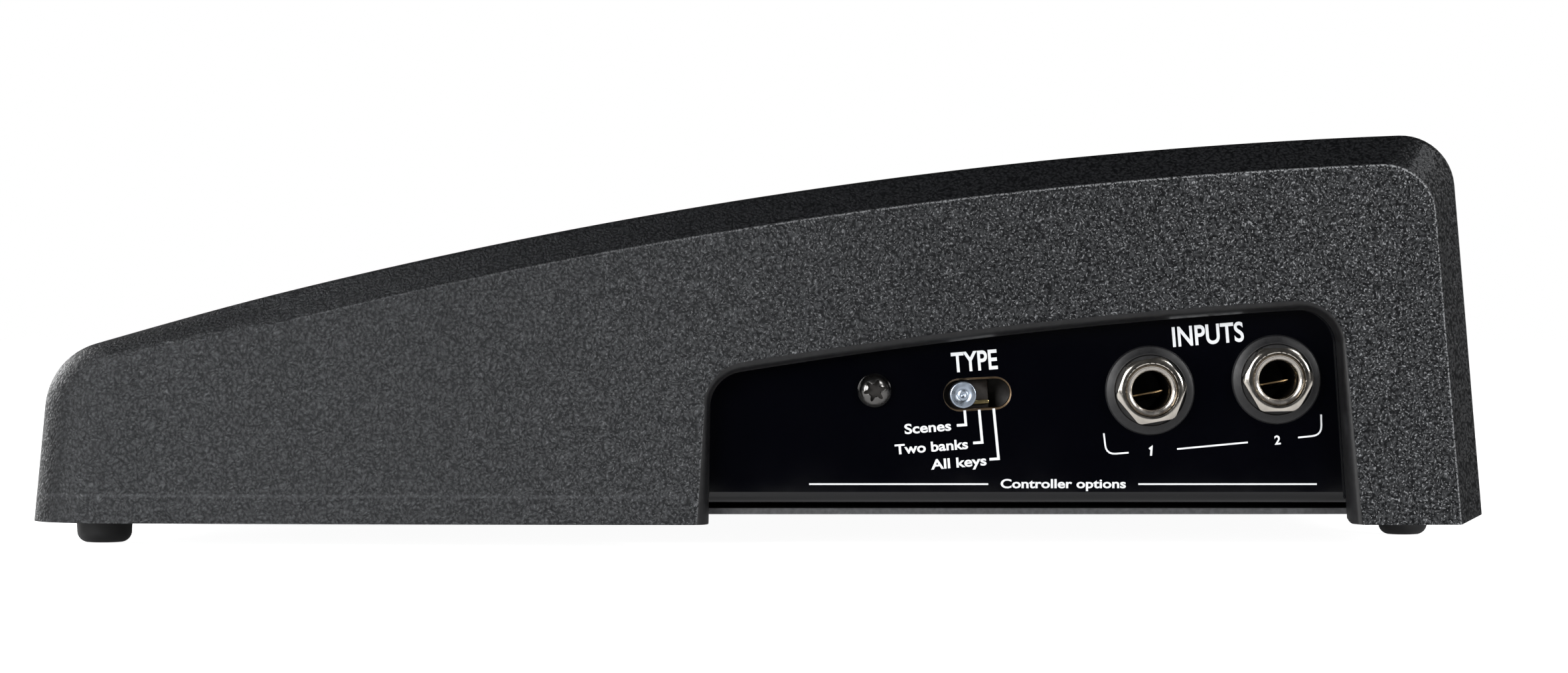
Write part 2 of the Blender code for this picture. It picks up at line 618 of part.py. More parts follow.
def build_base(shop):
    bm = bmesh.new()
    face = bm.faces.new([bm.verts.new((x, y, BASE_BOTTOM)) for x, y in base_outline()])
    moved = bmesh.ops.extrude_face_region(bm, geom=[face])["geom"]
    bmesh.ops.translate(bm, vec=(0, 0, BASE_THICK),
                        verts=[item for item in moved if isinstance(item, bmesh.types.BMVert)])
    base = shop.part("base_plate", finish_mesh("base_plate", bm), "base_steel")
    reach_x = BOARD_SIZE[0] / 2 - STANDOFF_INSET
    reach_y = BOARD_SIZE[1] / 2 - STANDOFF_INSET
    places = [(BOARD_PLACE[0] + sx * reach_x, BOARD_PLACE[1] + sy * reach_y)
              for sx in (-1, 1) for sy in (-1, 1)]
    top = BASE_BOTTOM + BASE_THICK
    posts = cylinder_mesh("standoffs", places, STANDOFF_RADIUS, top - BASE_THICK / 2, top + STANDOFF_HEIGHT,
                          SMALL_STEPS)
    boolean(base, shop.cutter("standoffs", posts), "UNION")
    screws = [(side * x, y) for side in (1, -1) for x, y in BOSS_PLACES]
    holes = cylinder_mesh("base_holes", screws, BOSS_HOLE, 0.0, PILOT_TOP, SMALL_STEPS)
    boolean(base, shop.cutter("base_holes", holes))
    board_top = top + STANDOFF_HEIGHT + FIT_GAP + BOARD_SIZE[2]
    board = box_mesh("main_board", BOARD_SIZE, (*BOARD_PLACE, board_top - BOARD_SIZE[2] / 2))
    item = shop.part("main_board", board, "board_green")
    for index, (x, y, length) in enumerate(CHIPS, 1):
        chip = box_mesh(f"chip_{index}", (length, *CHIP_SIZE), (x, y, board_top + CHIP_SINK))
        boolean(item, shop.cutter(f"chip_{index}", chip), "UNION")


def build_side_panel(shop):
    """A bent sheet: its face, its rounded lower edge and a short flange under it."""
    bend = arc_points(Vector((PANEL_X - PANEL_BEND, PANEL_BOTTOM + PANEL_BEND)), PANEL_BEND, -math.pi / 2, 0.0, 4)
    section = [Vector((PANEL_X - PANEL_FLANGE, PANEL_BOTTOM)), *bend, Vector((PANEL_X, PANEL_BOTTOM + 0.05))]
    front_y = ARCH_FRONT_Y - PANEL_LAP
    rear_y = ARCH_REAR_Y + PANEL_LAP
    bm = bmesh.new()
    rows = [[bm.verts.new((x, y, z)) for y in (front_y, rear_y)] for x, z in section]
    for low, high in zip(rows, rows[1:]):
        bm.faces.new((low[0], low[1], high[1], high[0]))
    mesh = bpy.data.meshes.new("side_panel")
    bm.to_mesh(mesh)
    bm.free()
    panel = shop.part("side_panel", mesh, "panel_gloss")
    sheet = panel.modifiers.new("sheet", "SOLIDIFY")
    sheet.thickness = PANEL_THICK
    sheet.offset = -1.0
    sheet.use_even_offset = True
    shape = prism_mesh("panel_shape", arch_outline(PANEL_LAP - PANEL_EDGE_GAP, 0.0), PANEL_X - 2 * DRILL_REACH,
                       PANEL_X + DRILL_REACH)
    boolean(panel, shop.cutter("panel_shape", shape), "INTERSECT")
    slot = prism_mesh("mode_slot", slot_outline(MODE_SLOT, MODE_TILT, MODE_SLOT_LENGTH, MODE_SLOT_WIDTH),
                      PANEL_X - DRILL_REACH, PANEL_X + DRILL_REACH)
    slot_cutter = shop.cutter("mode_slot", slot)
    screw = cylinder_mesh("panel_screw_hole", [(0, 0)], SCREW_HOLE, -DRILL_REACH, DRILL_REACH, SMALL_STEPS)
    screw_cutter = shop.cutter("panel_screw_hole", screw, panel_matrix(PANEL_SCREW))
    boolean(panel, slot_cutter)
    boolean(panel, screw_cutter)
    for index, place in enumerate(CONTROL_JACKS, 1):
        hole = cylinder_mesh("jack_hole", [(0, 0)], JACK_HOLE_RADIUS, -DRILL_REACH, DRILL_REACH)
        boolean(panel, shop.cutter(f"control_hole_{index}", hole, panel_matrix(place)))
    build_mode_switch(shop, slot_cutter, screw_cutter)


def build_mode_switch(shop, slot_cutter, screw_cutter):
    """The bracket behind the panel, the switch on it, its sliding pin and the bracket's screw."""
    back = PANEL_THICK + FIT_GAP
    plate_thick = BRACKET_SIZE[0]
    plate = box_mesh("switch_bracket", BRACKET_SIZE,
                     (PANEL_X - back - plate_thick / 2, MODE_SLOT[0] + BRACKET_SHIFT, MODE_SLOT[1]))
    bracket = shop.part("switch_bracket", plate, "bracket_steel")
    boolean(bracket, slot_cutter)
    boolean(bracket, screw_cutter)

    place = shop.mount("mode_switch", panel_matrix(MODE_SLOT, MODE_TILT))
    front = -(back + plate_thick + FIT_GAP)
    body = box_mesh("mode_switch_body", MODE_BODY, (0, 0, front - MODE_BODY[2] / 2))
    switch = shop.part("mode_switch_body", body, "black_plastic", place)
    pocket = box_mesh("mode_pocket", MODE_POCKET, (0, 0, front))
    pocket_cutter = shop.cutter("mode_pocket", pocket)
    pocket_cutter.parent = place
    boolean(switch, pocket_cutter)

    carriage_front = front - CARRIAGE_FRONT
    carriage_back = front - CARRIAGE_BACK
    pin_end = (carriage_front + carriage_back) / 2
    pin = turned_mesh(shop, "mode_slider", [
        (0.0, MODE_PIN_TOP), (MODE_PIN_RADIUS - MODE_PIN_EDGE, MODE_PIN_TOP),
        (MODE_PIN_RADIUS, MODE_PIN_TOP - MODE_PIN_EDGE), (MODE_PIN_RADIUS, pin_end), (0.0, pin_end)])
    slider = shop.part("mode_slider", pin, "zinc", place)
    slider.location = (-MODE_STEP, 0, 0)
    carriage = box_mesh("mode_carriage", (*CARRIAGE_SIZE, carriage_front - carriage_back), (-MODE_STEP, 0, pin_end))
    carriage_cutter = shop.cutter("mode_carriage", carriage)
    carriage_cutter.parent = place
    boolean(slider, carriage_cutter, "UNION")

    screw = turned_mesh(shop, "panel_screw", PANEL_SCREW_PROFILE, steps=TURNED_STEPS)
    fixing = shop.mount("panel_fixing", panel_matrix(PANEL_SCREW))
    shop.part("panel_screw", screw, "dark_nickel", fixing)


# ---- jacks and sockets -------------------------------------------------------------------------
def hex_nut_mesh(shop, name, across, bore, low, high):
    corner = across / math.sqrt(3)
    nut = shop.cutter(name, cylinder_mesh(name, [(0, 0)], corner, low, high, 6))
    outside = corner + FIT_GAP
    crown = turned_object(shop, name + "_crown", [
        (0.0, high), (across / 2, high), (outside, high - NUT_CROWN_DROP), (outside, low - FIT_GAP),
        (0.0, low - FIT_GAP)])
    boolean(nut, crown, "INTERSECT")
    hole = shop.cutter(name + "_bore", cylinder_mesh(name + "_bore", [(0, 0)], bore, low - DRILL_REACH,
                                                     high + DRILL_REACH))
    boolean(nut, hole)
    mesh = shop.bake(nut)
    for item in (crown, hole):
        bpy.data.objects.remove(item, do_unlink=True)
    return mesh


def ring_mesh(shop, name, outer, inner, low, high, edge):
    return turned_mesh(shop, name, [(inner, high), (outer - edge, high), (outer, high - edge), (outer, low),
                                    (inner, low)], closed=True)


def jack_body_mesh(shop, panel_thick):
    """A moulded jack: the block behind the panel and the threaded bushing, with one bore through both."""
    seat = -(panel_thick + FIT_GAP)
    width, height, depth = JACK_BODY
    block = box_mesh("jack_body", (width, height, depth), (0, 0, seat - depth / 2))
    body = shop.cutter("jack_body", block)
    tube = shop.cutter("jack_tube", cylinder_mesh("jack_tube", [(0, 0)], JACK_BUSHING_RADIUS,
                                                  seat - JACK_END_WALL, JACK_PROUD))
    bore = shop.cutter("jack_bore", cylinder_mesh("jack_bore", [(0, 0)], JACK_BORE_RADIUS,
                                                  seat - depth + JACK_END_WALL, JACK_PROUD + DRILL_REACH))
    boolean(body, tube, "UNION")
    boolean(body, bore)
    mesh = shop.bake(body)
    for item in (tube, bore):
        bpy.data.objects.remove(item, do_unlink=True)
    return mesh


def build_jacks(shop):
    washer = ring_mesh(shop, "jack_washer", WASHER_RADIUS, JACK_BUSHING_RADIUS + FIT_GAP,
                       FIT_GAP, WASHER_THICK, WASHER_EDGE)
    nut_low = WASHER_THICK + FIT_GAP
    nut = hex_nut_mesh(shop, "jack_nut", NUT_ACROSS, JACK_BUSHING_RADIUS + FIT_GAP, nut_low, nut_low + NUT_HEIGHT)
    side_body = jack_body_mesh(shop, PANEL_THICK)
    rear_body = jack_body_mesh(shop, CHASSIS_THICK)
    fittings = [(f"control_jack_{index}", panel_matrix(place), side_body)
                for index, place in enumerate(CONTROL_JACKS, 1)]
    fittings.append(("link_jack", rear_matrix(*LINK_JACK), rear_body))
    for name, matrix, body in fittings:
        place = shop.mount(name, matrix)
        shop.part(name + "_body", body, "black_plastic", place)
        shop.part(name + "_washer", washer, "black_plastic", place)
        shop.part(name + "_nut", nut, "nickel", place)


def build_data_socket(shop):
    """A round five-pole socket in the rear wall: a flanged cup with a core that holds the contacts."""
    place = shop.mount("data_socket_mount", rear_matrix(*DATA_SOCKET))
    flange_radius = DATA_RADIUS + DATA_FLANGE[0]
    cup = turned_mesh(shop, "data_socket", [
        (0.0, DATA_CORE_TOP), (DATA_CORE_RADIUS, DATA_CORE_TOP), (DATA_CORE_RADIUS, -DATA_RECESS_DEPTH),
        (DATA_RECESS_RADIUS, -DATA_RECESS_DEPTH), (DATA_RECESS_RADIUS, DATA_FLANGE[1]),
        (flange_radius, DATA_FLANGE[1]), (flange_radius, FIT_GAP), (DATA_RADIUS, FIT_GAP),
        (DATA_RADIUS, -DATA_DEPTH), (0.0, -DATA_DEPTH)])
    shop.part("data_socket", cup, "black_plastic", place)


# ---- footswitches, lamps and display -----------------------------------------------------------
def build_footswitches(shop):
    stem = SWITCH_BORE - FIT_GAP
    seat = -(CHASSIS_THICK + FIT_GAP)
    floor = STEM_BOTTOM - SWITCH_TRAVEL - STEM_ROOM
    body = turned_mesh(shop, "footswitch_body", [
        (0.0, floor), (SWITCH_BORE, floor), (SWITCH_BORE, BUSHING_PROUD), (BUSHING_RADIUS - FIT_GAP, BUSHING_PROUD),
        (BUSHING_RADIUS, BUSHING_PROUD - FIT_GAP), (BUSHING_RADIUS, seat), (SWITCH_CAN_RADIUS, seat),
        (SWITCH_CAN_RADIUS, seat - SWITCH_CAN_DEPTH), (0.0, seat - SWITCH_CAN_DEPTH)], steps=TURNED_STEPS)
    nut = hex_nut_mesh(shop, "footswitch_nut", SWITCH_NUT_ACROSS, BUSHING_RADIUS + FIT_GAP, FIT_GAP, SWITCH_NUT_TOP)
    under = BUSHING_PROUD + SWITCH_TRAVEL + BUTTON_ROOM
    crown = [(radius, BUTTON_TOP - drop) for radius, drop in BUTTON_CROWN]
    button = turned_mesh(shop, "footswitch_button", [
        *crown, (BUTTON_RADIUS, under), (stem, under), (stem, STEM_BOTTOM), (0.0, STEM_BOTTOM)], steps=TURNED_STEPS)
    lamp = turned_mesh(shop, "lamp", LAMP_PROFILE, steps=SMALL_STEPS)
    for index, (x, y) in enumerate(SWITCH_PLACES, 1):
        place = shop.mount(f"footswitch_{index}", roof_matrix(x, y))
        shop.part(f"footswitch_{index}_body", body, "black_plastic", place)
        shop.part(f"footswitch_{index}_nut", nut, "nickel", place)
        shop.part(f"footswitch_{index}_button", button, "nickel", place)
        socket = shop.mount(f"lamp_{index}_mount", roof_matrix(x, y + LED_OFFSET))
        shop.part(f"lamp_{index}", lamp, "lamp_red", socket)


def build_display(shop):
    place = shop.mount("display", roof_matrix(0, DISPLAY_Y))
    window_middle = DISPLAY_PROUD - DISPLAY_THICK / 2
    window = box_mesh("display_window", (*DISPLAY_SIZE, DISPLAY_THICK), (0, 0, window_middle))
    shop.part("display_window", window, "smoked_window", place)
    module_middle = DISPLAY_PROUD - DISPLAY_THICK - FIT_GAP - MODULE_DEPTH / 2
    size = (DISPLAY_SIZE[0] + MODULE_GROWTH[0], DISPLAY_SIZE[1] + MODULE_GROWTH[1], MODULE_DEPTH)
    module = box_mesh("display_module", size, (0, 0, module_middle))
    shop.part("display_module", module, "black_plastic", place)


# ---- feet and base screws ----------------------------------------------------------------------
def build_feet(shop):
    corners = (("front", FRONT_FOOT, FRONT_FOOT_RADIUS), ("rear", REAR_FOOT, REAR_FOOT_RADIUS))
    for row, (x, y), radius in corners:
        top = BASE_BOTTOM - FIT_GAP
        foot = turned_mesh(shop, "foot_" + row, [
            (0.0, top), (radius, top), (radius, FOOT_EDGE), (radius - FOOT_TOE[0], FOOT_TOE[1]),
            (radius - FOOT_EDGE, 0.0), (0.0, 0.0)], steps=TURNED_STEPS)
        for side, tag in ((1, "right"), (-1, "left")):
            item = shop.part(f"foot_{row}_{tag}", foot, "rubber")
            item.location = (side * x, y, 0)


def build_base_screws(shop):
    head_top = BASE_BOTTOM - FIT_GAP
    tip = head_top + BASE_SCREW_LENGTH
    head = [(radius, head_top - drop) for radius, drop in BASE_SCREW_HEAD]
    screw = turned_mesh(shop, "base_screw", [
        (0.0, tip), (BASE_SCREW_RADIUS, tip - 0.001), (BASE_SCREW_RADIUS, head_top), *head], steps=SMALL_STEPS)
    for row, (x, y) in zip(("front", "rear"), BOSS_PLACES):
        for side, tag in ((1, "right"), (-1, "left")):
            item = shop.part(f"base_screw_{row}_{tag}", screw, "dark_nickel")
            item.location = (side * x, y, 0)


def main():
    clear_scene()
    shop = Workshop()
    build_cheeks(shop)
    build_chassis(shop)
    build_base(shop)
    build_side_panel(shop)
    build_jacks(shop)
    build_data_socket(shop)
    build_footswitches(shop)
    build_display(shop)
    build_feet(shop)
    build_base_screws(shop)


main()
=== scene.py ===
"""The looks of a floor foot controller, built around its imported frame.

Metres, in the frame's own axes: +X is the player's right, +Y points away from the player, +Z up.
"""
import math

import bmesh
import bpy
from mathutils import Matrix, Vector


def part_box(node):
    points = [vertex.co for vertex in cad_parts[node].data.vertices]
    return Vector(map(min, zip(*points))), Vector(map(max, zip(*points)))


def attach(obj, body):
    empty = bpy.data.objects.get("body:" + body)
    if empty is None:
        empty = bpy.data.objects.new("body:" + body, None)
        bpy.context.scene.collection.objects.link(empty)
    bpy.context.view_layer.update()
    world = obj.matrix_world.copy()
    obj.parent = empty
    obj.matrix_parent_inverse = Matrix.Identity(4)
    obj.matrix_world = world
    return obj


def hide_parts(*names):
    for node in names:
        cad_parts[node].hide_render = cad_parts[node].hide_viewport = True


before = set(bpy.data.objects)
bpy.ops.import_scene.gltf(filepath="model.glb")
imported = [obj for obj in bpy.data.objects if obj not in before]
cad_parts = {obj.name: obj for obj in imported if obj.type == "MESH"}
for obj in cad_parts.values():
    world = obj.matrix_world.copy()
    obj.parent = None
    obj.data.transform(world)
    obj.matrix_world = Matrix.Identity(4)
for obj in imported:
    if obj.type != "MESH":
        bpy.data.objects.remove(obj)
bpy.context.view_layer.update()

HOUSING = "housing"
PIECES = bpy.context.scene.collection

# ---- the side view's outline ----
WIDTH = 0.400
DEPTH = 0.2417
FLOOR_GAP = 0.0042
FRONT_DRAFT = math.radians(5.5)
REAR_DRAFT = math.radians(4.8)
RIM_RADIUS = 0.9353
RIM_CENTRE = (0.1437, FLOOR_GAP - 0.8704)
CORNER_STEPS = 12
ROOF_STEPS = 48
BAND_STEPS = 10

# ---- cheeks ----
CHEEK_INNER_X = 0.173
CHEEK_WALL = 0.003
FRONT_BOW = 0.008
FRONT_BOW_START = 0.0102
REAR_BOW = 0.0015
REAR_BOW_START = 0.0596
RIM_CORNERS = (0.012, 0.0089)
REAR_BOTTOM_RISE = 0.0015
BEVEL_ROOF = 0.005
BEVEL_REAR = 0.0045
BEVEL_DEPTH = 0.006
ROUND_FRONT = 0.0125
ROUND_DEPTH = 0.0115
ROUND_START = -0.112
ROUND_END = -0.078
INNER_WALL_DROP = 0.015
CUT_MARGIN = 0.006

# ---- recess ----
ARCH_CAD = (-0.0078, 0.0, 0.0987, math.radians(4.6), 0.02645, 0.0065)
ARCH_INNER = (-0.0073, math.radians(0.7), 0.0982, math.radians(3.7), 0.02805, 0.0060)
ARCH_OUTER = (-0.0095, math.radians(4.2), 0.1000, math.radians(5.4), 0.02650, 0.0078)
ARCH_WALL = 0.0025
ARCH_STEP = 0.00018                      # small step between the grained face and the smooth lip
ARCH_ROLL = 0.0034                       # depth over which the lip rolls in
PANEL_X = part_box("side_panel")[1].x
PANEL_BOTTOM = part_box("side_panel")[0].z
PANEL_THICK = 0.0012
PANEL_LAP = 0.0035
PANEL_BEND = 0.0018
PANEL_FLANGE = 0.0055
FIT_GAP = 0.0003

# ---- chassis ----
CHASSIS_HALF = CHEEK_INNER_X - FIT_GAP
CHASSIS_THICK = 0.0015
CHASSIS_SINK = 0.012
CHASSIS_INSETS = (0.003, CHASSIS_SINK, 0.0045)
CHASSIS_CORNER = 0.005

# ---- fittings ----
SWITCH_ROWS = (-0.070, 0.040)            # y of the front and the rear row of footswitches
DISPLAY_SIZE = (0.084, 0.034)
SOCKET_HEIGHT = FLOOR_GAP + 0.024        # middle of the sockets in the rear wall
THROUGH = 0.01                           # half the length of a cutter that goes right through a sheet
MODE_SLOT = (0.0371, FLOOR_GAP + 0.0214)
MODE_TILT = math.radians(3.0)
MODE_SLOT_SIZE = (0.0113, 0.0055)
MODE_STEP = 0.0024
MODE_PIN_RADIUS = 0.0022
LED_OFFSET = 0.020
SWITCH_COUNT = 7
FRONT_ROW = 5
JACK_BORE = 0.00325
JACK_BUSHING = 0.0043
PRINT_LIFT = 0.00002                     # printed ink stands this far over its surface
PRINT_SLOPE = math.radians(4.6)          # the slope of the side panel's print
CAPITAL_SHARE = 0.70                     # capital height of the built-in letters, as a share of their size


def centre_of(node):
    low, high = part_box(node)
    return (low + high) / 2


# ==== materials ====
def add_node(tree, kind, inputs=None, **settings):
    """A new node with its settings made and its inputs filled."""
    item = tree.nodes.new(kind)
    for key, value in settings.items():
        setattr(item, key, value)
    for key, value in (inputs or {}).items():
        fill_input(tree, item.inputs[key], value)
    return item


def fill_input(tree, socket, value):
    """Wires an input to another node's output, or sets it to a value."""
    if isinstance(value, bpy.types.NodeSocket):
        tree.links.new(value, socket)
    else:
        socket.default_value = value


class Surface:
    """A Principled material and short ways to wire its nodes."""

    def __init__(self, name, colour, roughness, metallic=0.0, **sockets):
        self.material = bpy.data.materials.new(name)
        self.material.use_nodes = True
        self.tree = self.material.node_tree
        self.shader = self.tree.nodes["Principled BSDF"]
        self.feed("Base Color", (*colour, 1.0))
        self.feed("Roughness", roughness)
        self.feed("Metallic", metallic)
        for socket, value in sockets.items():
            self.feed(socket.replace("_", " "), value)
        self.place = self.node("ShaderNodeTexCoord").outputs["Object"]

    def feed(self, socket, value):
        fill_input(self.tree, self.shader.inputs[socket], value)

    def node(self, kind, inputs=None, **settings):
        return add_node(self.tree, kind, inputs, **settings)

    def noise(self, scale, detail=3.0, roughness=0.55, vector=None):
        return self.node("ShaderNodeTexNoise", {
            "Vector": vector or self.place, "Scale": scale, "Detail": detail, "Roughness": roughness,
        }).outputs["Fac"]

    def math(self, operation, first, second=0.0):
        return self.node("ShaderNodeMath", {0: first, 1: second}, operation=operation).outputs[0]

    def times(self, first, *others):
        for other in others:
            first = self.math("MULTIPLY", first, other)
        return first

    def split(self, vector):
        return self.node("ShaderNodeSeparateXYZ", {"Vector": vector}).outputs

    def spread(self, source, low, high, to_low=0.0, to_high=1.0):
        return self.node("ShaderNodeMapRange", {
            "Value": source, "From Min": low, "From Max": high, "To Min": to_low, "To Max": to_high,
        }).outputs["Result"]

    def blend(self, share, first, second):
        """A colour between two, by share. Each is a colour or another node's output."""
        pair = [c if isinstance(c, bpy.types.NodeSocket) else (*c, 1.0) for c in (first, second)]
        inputs = {"Factor": share, 6: pair[0], 7: pair[1]}
        return self.node("ShaderNodeMix", inputs, data_type="RGBA").outputs[2]

    def mottle(self, source, low, high, first, second):
        """The base colour goes from first to second as source goes from low to high."""
        self.feed("Base Color", self.blend(self.spread(source, low, high), first, second))

    def sheen(self, source, low, high):
        """The roughness follows a noise, between low and high."""
        self.feed("Roughness", self.spread(source, 0.3, 0.7, low, high))

    def bump(self, height, distance, strength=1.0):
        inputs = {"Height": height, "Distance": distance, "Strength": strength}
        self.feed("Normal", self.node("ShaderNodeBump", inputs).outputs["Normal"])


def leather_plastic(name="cheek_grain", glint_low=0.585, glint_colour=(0.250, 0.255, 0.265)):
    """Black moulding with a fine leather grain that is shallower on the bevel and the rim.

    Light grey specks are painted into the base colour, more towards the rear and on the side face: a painted
    glint highlight of the lamps on the grain. A faint lighter line runs along the foot of the front part.
    """
    s = Surface(name, (0.010, 0.0103, 0.0112), 0.58, Specular_Tint=(0.94, 0.97, 1.0, 1.0))
    wander = s.node("ShaderNodeTexNoise", {"Vector": s.place, "Scale": 420.0, "Detail": 1.0}).outputs["Color"]
    push = s.node("ShaderNodeVectorMath", {0: wander, "Scale": 0.0014}, operation="SCALE").outputs[0]
    place = s.node("ShaderNodeVectorMath", {0: s.place, 1: push}, operation="ADD").outputs[0]
    pebbles = s.node("ShaderNodeTexVoronoi", {"Vector": place, "Scale": 1900.0, "Smoothness": 0.35},
                     feature="SMOOTH_F1").outputs["Distance"]
    creases = s.noise(2300.0, 3.0, 0.6, place)
    height = s.math("ADD", s.times(pebbles, -0.85), s.times(creases, 1.1))
    side = s.math("ABSOLUTE", s.split(s.node("ShaderNodeNewGeometry").outputs["True Normal"])["X"])
    s.bump(s.times(height, s.spread(side, 0.70, 0.97, 0.42, 1.0)), 0.00034)
    tone = s.blend(s.spread(height, -0.10, 0.45), (0.0030, 0.0032, 0.0038), (0.0150, 0.0155, 0.0172))
    where = s.split(s.place)
    rearward = s.spread(where["Y"], -0.05, 0.09, 0.10, 1.1)
    contrast = s.times(s.spread(height, -0.05, 0.40, -0.35, 0.50), s.spread(rearward, 0.1, 1.0, 0.38, 1.0))
    wear = s.times(s.spread(where["Y"], -0.01, 0.04, 1.0, 0.70), s.spread(where["Y"], 0.05, 0.09, 1.0, 1.16))
    polish = s.times(s.spread(side, 0.62, 0.85, 0.45, 1.0), wear)
    s.feed("Specular IOR Level", s.times(s.math("ADD", contrast, 0.58), polish))
    # Painted glints: light grey specks in the base colour stand in for lamp highlights on the grain, stronger
    # towards the rear.
    painted_glints = s.spread(s.noise(3300.0, 2.0, 0.5, place), glint_low, glint_low + 0.08)
    off_line = s.math("ABSOLUTE", s.math("SUBTRACT", where["Z"], FLOOR_GAP + 0.0046))
    line = s.times(s.spread(off_line, 0.0001, 0.0004, 0.5, 0.0), s.spread(where["Y"], -0.016, -0.009, 1.0, 0.0))
    lined = s.blend(line, tone, (0.040, 0.041, 0.044))
    s.feed("Base Color", s.blend(s.times(painted_glints, rearward, s.spread(side, 0.68, 0.92)), lined, glint_colour))
    s.feed("Roughness", s.spread(height, -0.05, 0.45, 0.58, 0.34))
    return s.material


def gloss_black():
    """Polished black lacquer on the side panel, with a very slight ripple and a little dust."""
    black = (0.0008, 0.0009, 0.0020)
    s = Surface("panel_lacquer", black, 0.06, Coat_Weight=0.20, Coat_Roughness=0.03)
    s.mottle(s.noise(5200.0, 2.0), 0.70, 0.80, black, (0.0040, 0.0042, 0.0055))
    s.sheen(s.noise(90.0, 3.0), 0.045, 0.085)
    s.bump(s.noise(140.0, 2.0), 0.00002, 0.35)
    return s.material


def satin_paint(name, colour, grain, roughness, depth):
    """Powder coat: a fine orange peel and slow changes of sheen."""
    s = Surface(name, colour, roughness)
    peel = s.noise(grain, 3.0, 0.6)
    s.mottle(peel, 0.35, 0.68, [c * 0.8 for c in colour], [min(1.0, c * 1.35 + 0.004) for c in colour])
    s.sheen(s.noise(38.0, 4.0), roughness - 0.07, roughness + 0.09)
    s.bump(peel, depth, 0.8)
    return s.material


def moulded_black(name, colour, roughness):
    s = Surface(name, colour, roughness)
    fine = s.noise(2600.0, 3.0)
    s.mottle(fine, 0.35, 0.7, colour, [c * 1.7 for c in colour])
    s.sheen(s.noise(600.0, 3.0), roughness - 0.08, roughness + 0.10)
    s.bump(fine, 0.00002, 0.6)
    return s.material


def plated(name, colour, roughness, lathe=0.0, wear=0.18):
    """Plated metal. lathe is the depth of its turning marks, in metres."""
    s = Surface(name, colour, roughness, 1.0)
    smudge = s.noise(420.0, 4.0, 0.6)
    s.mottle(smudge, 0.38, 0.66, colour, [c * (1.0 - wear) for c in colour])
    s.sheen(smudge, roughness * 0.7, roughness * 1.6)
    if lathe:
        where = s.split(s.place)
        flat = s.node("ShaderNodeCombineXYZ", {"X": where["X"], "Y": where["Y"]}).outputs[0]
        radius = s.node("ShaderNodeVectorMath", {0: flat}, operation="LENGTH").outputs["Value"]
        rings = s.math("SINE", s.times(radius, 24000.0))
        s.bump(s.math("ADD", s.times(rings, 0.5), s.noise(3000.0, 2.0)), lathe, 0.7)
    else:
        s.bump(s.noise(1600.0, 2.0), 0.000006, 0.5)
    return s.material


def rubber():
    s = Surface("foot_rubber", (0.012, 0.012, 0.013), 0.62)
    patchy = s.noise(900.0, 4.0)
    s.mottle(patchy, 0.35, 0.7, (0.010, 0.010, 0.011), (0.022, 0.022, 0.023))
    s.sheen(patchy, 0.5, 0.75)
    s.bump(s.noise(2400.0, 3.0), 0.00003, 0.7)
    return s.material


def tinted_lens():
    s = Surface("lamp_lens", (0.30, 0.008, 0.008), 0.10, Coat_Weight=0.5, Coat_Roughness=0.04)
    cloud = s.noise(700.0, 2.0)
    s.mottle(cloud, 0.3, 0.7, (0.22, 0.005, 0.005), (0.40, 0.014, 0.012))
    s.bump(cloud, 0.00001, 0.3)
    return s.material


def smoked_acrylic():
    s = Surface("smoked_acrylic", (0.010, 0.003, 0.003), 0.05, Coat_Weight=0.3)
    s.mottle(s.noise(60.0), 0.3, 0.7, (0.008, 0.003, 0.003), (0.014, 0.004, 0.004))
    s.sheen(s.noise(260.0, 4.0), 0.04, 0.10)
    return s.material


def ink(name, colour, roughness=0.45):
    """Screen-printed ink, a little uneven."""
    s = Surface(name, colour, roughness)
    patchy = s.noise(2200.0, 3.0)
    s.mottle(patchy, 0.3, 0.7, [c * 0.93 for c in colour], colour)
    s.bump(patchy, 0.000005, 0.4)
    return s.material


def circuit_board():
    s = Surface("circuit_board", (0.010, 0.085, 0.035), 0.35)
    tracks = s.node("ShaderNodeTexBrick", {"Vector": s.place, "Scale": 120.0}).outputs["Fac"]
    s.feed("Base Color", s.blend(tracks, (0.008, 0.075, 0.03), (0.02, 0.12, 0.05)))
    s.bump(tracks, 0.00002, 0.5)
    return s.material
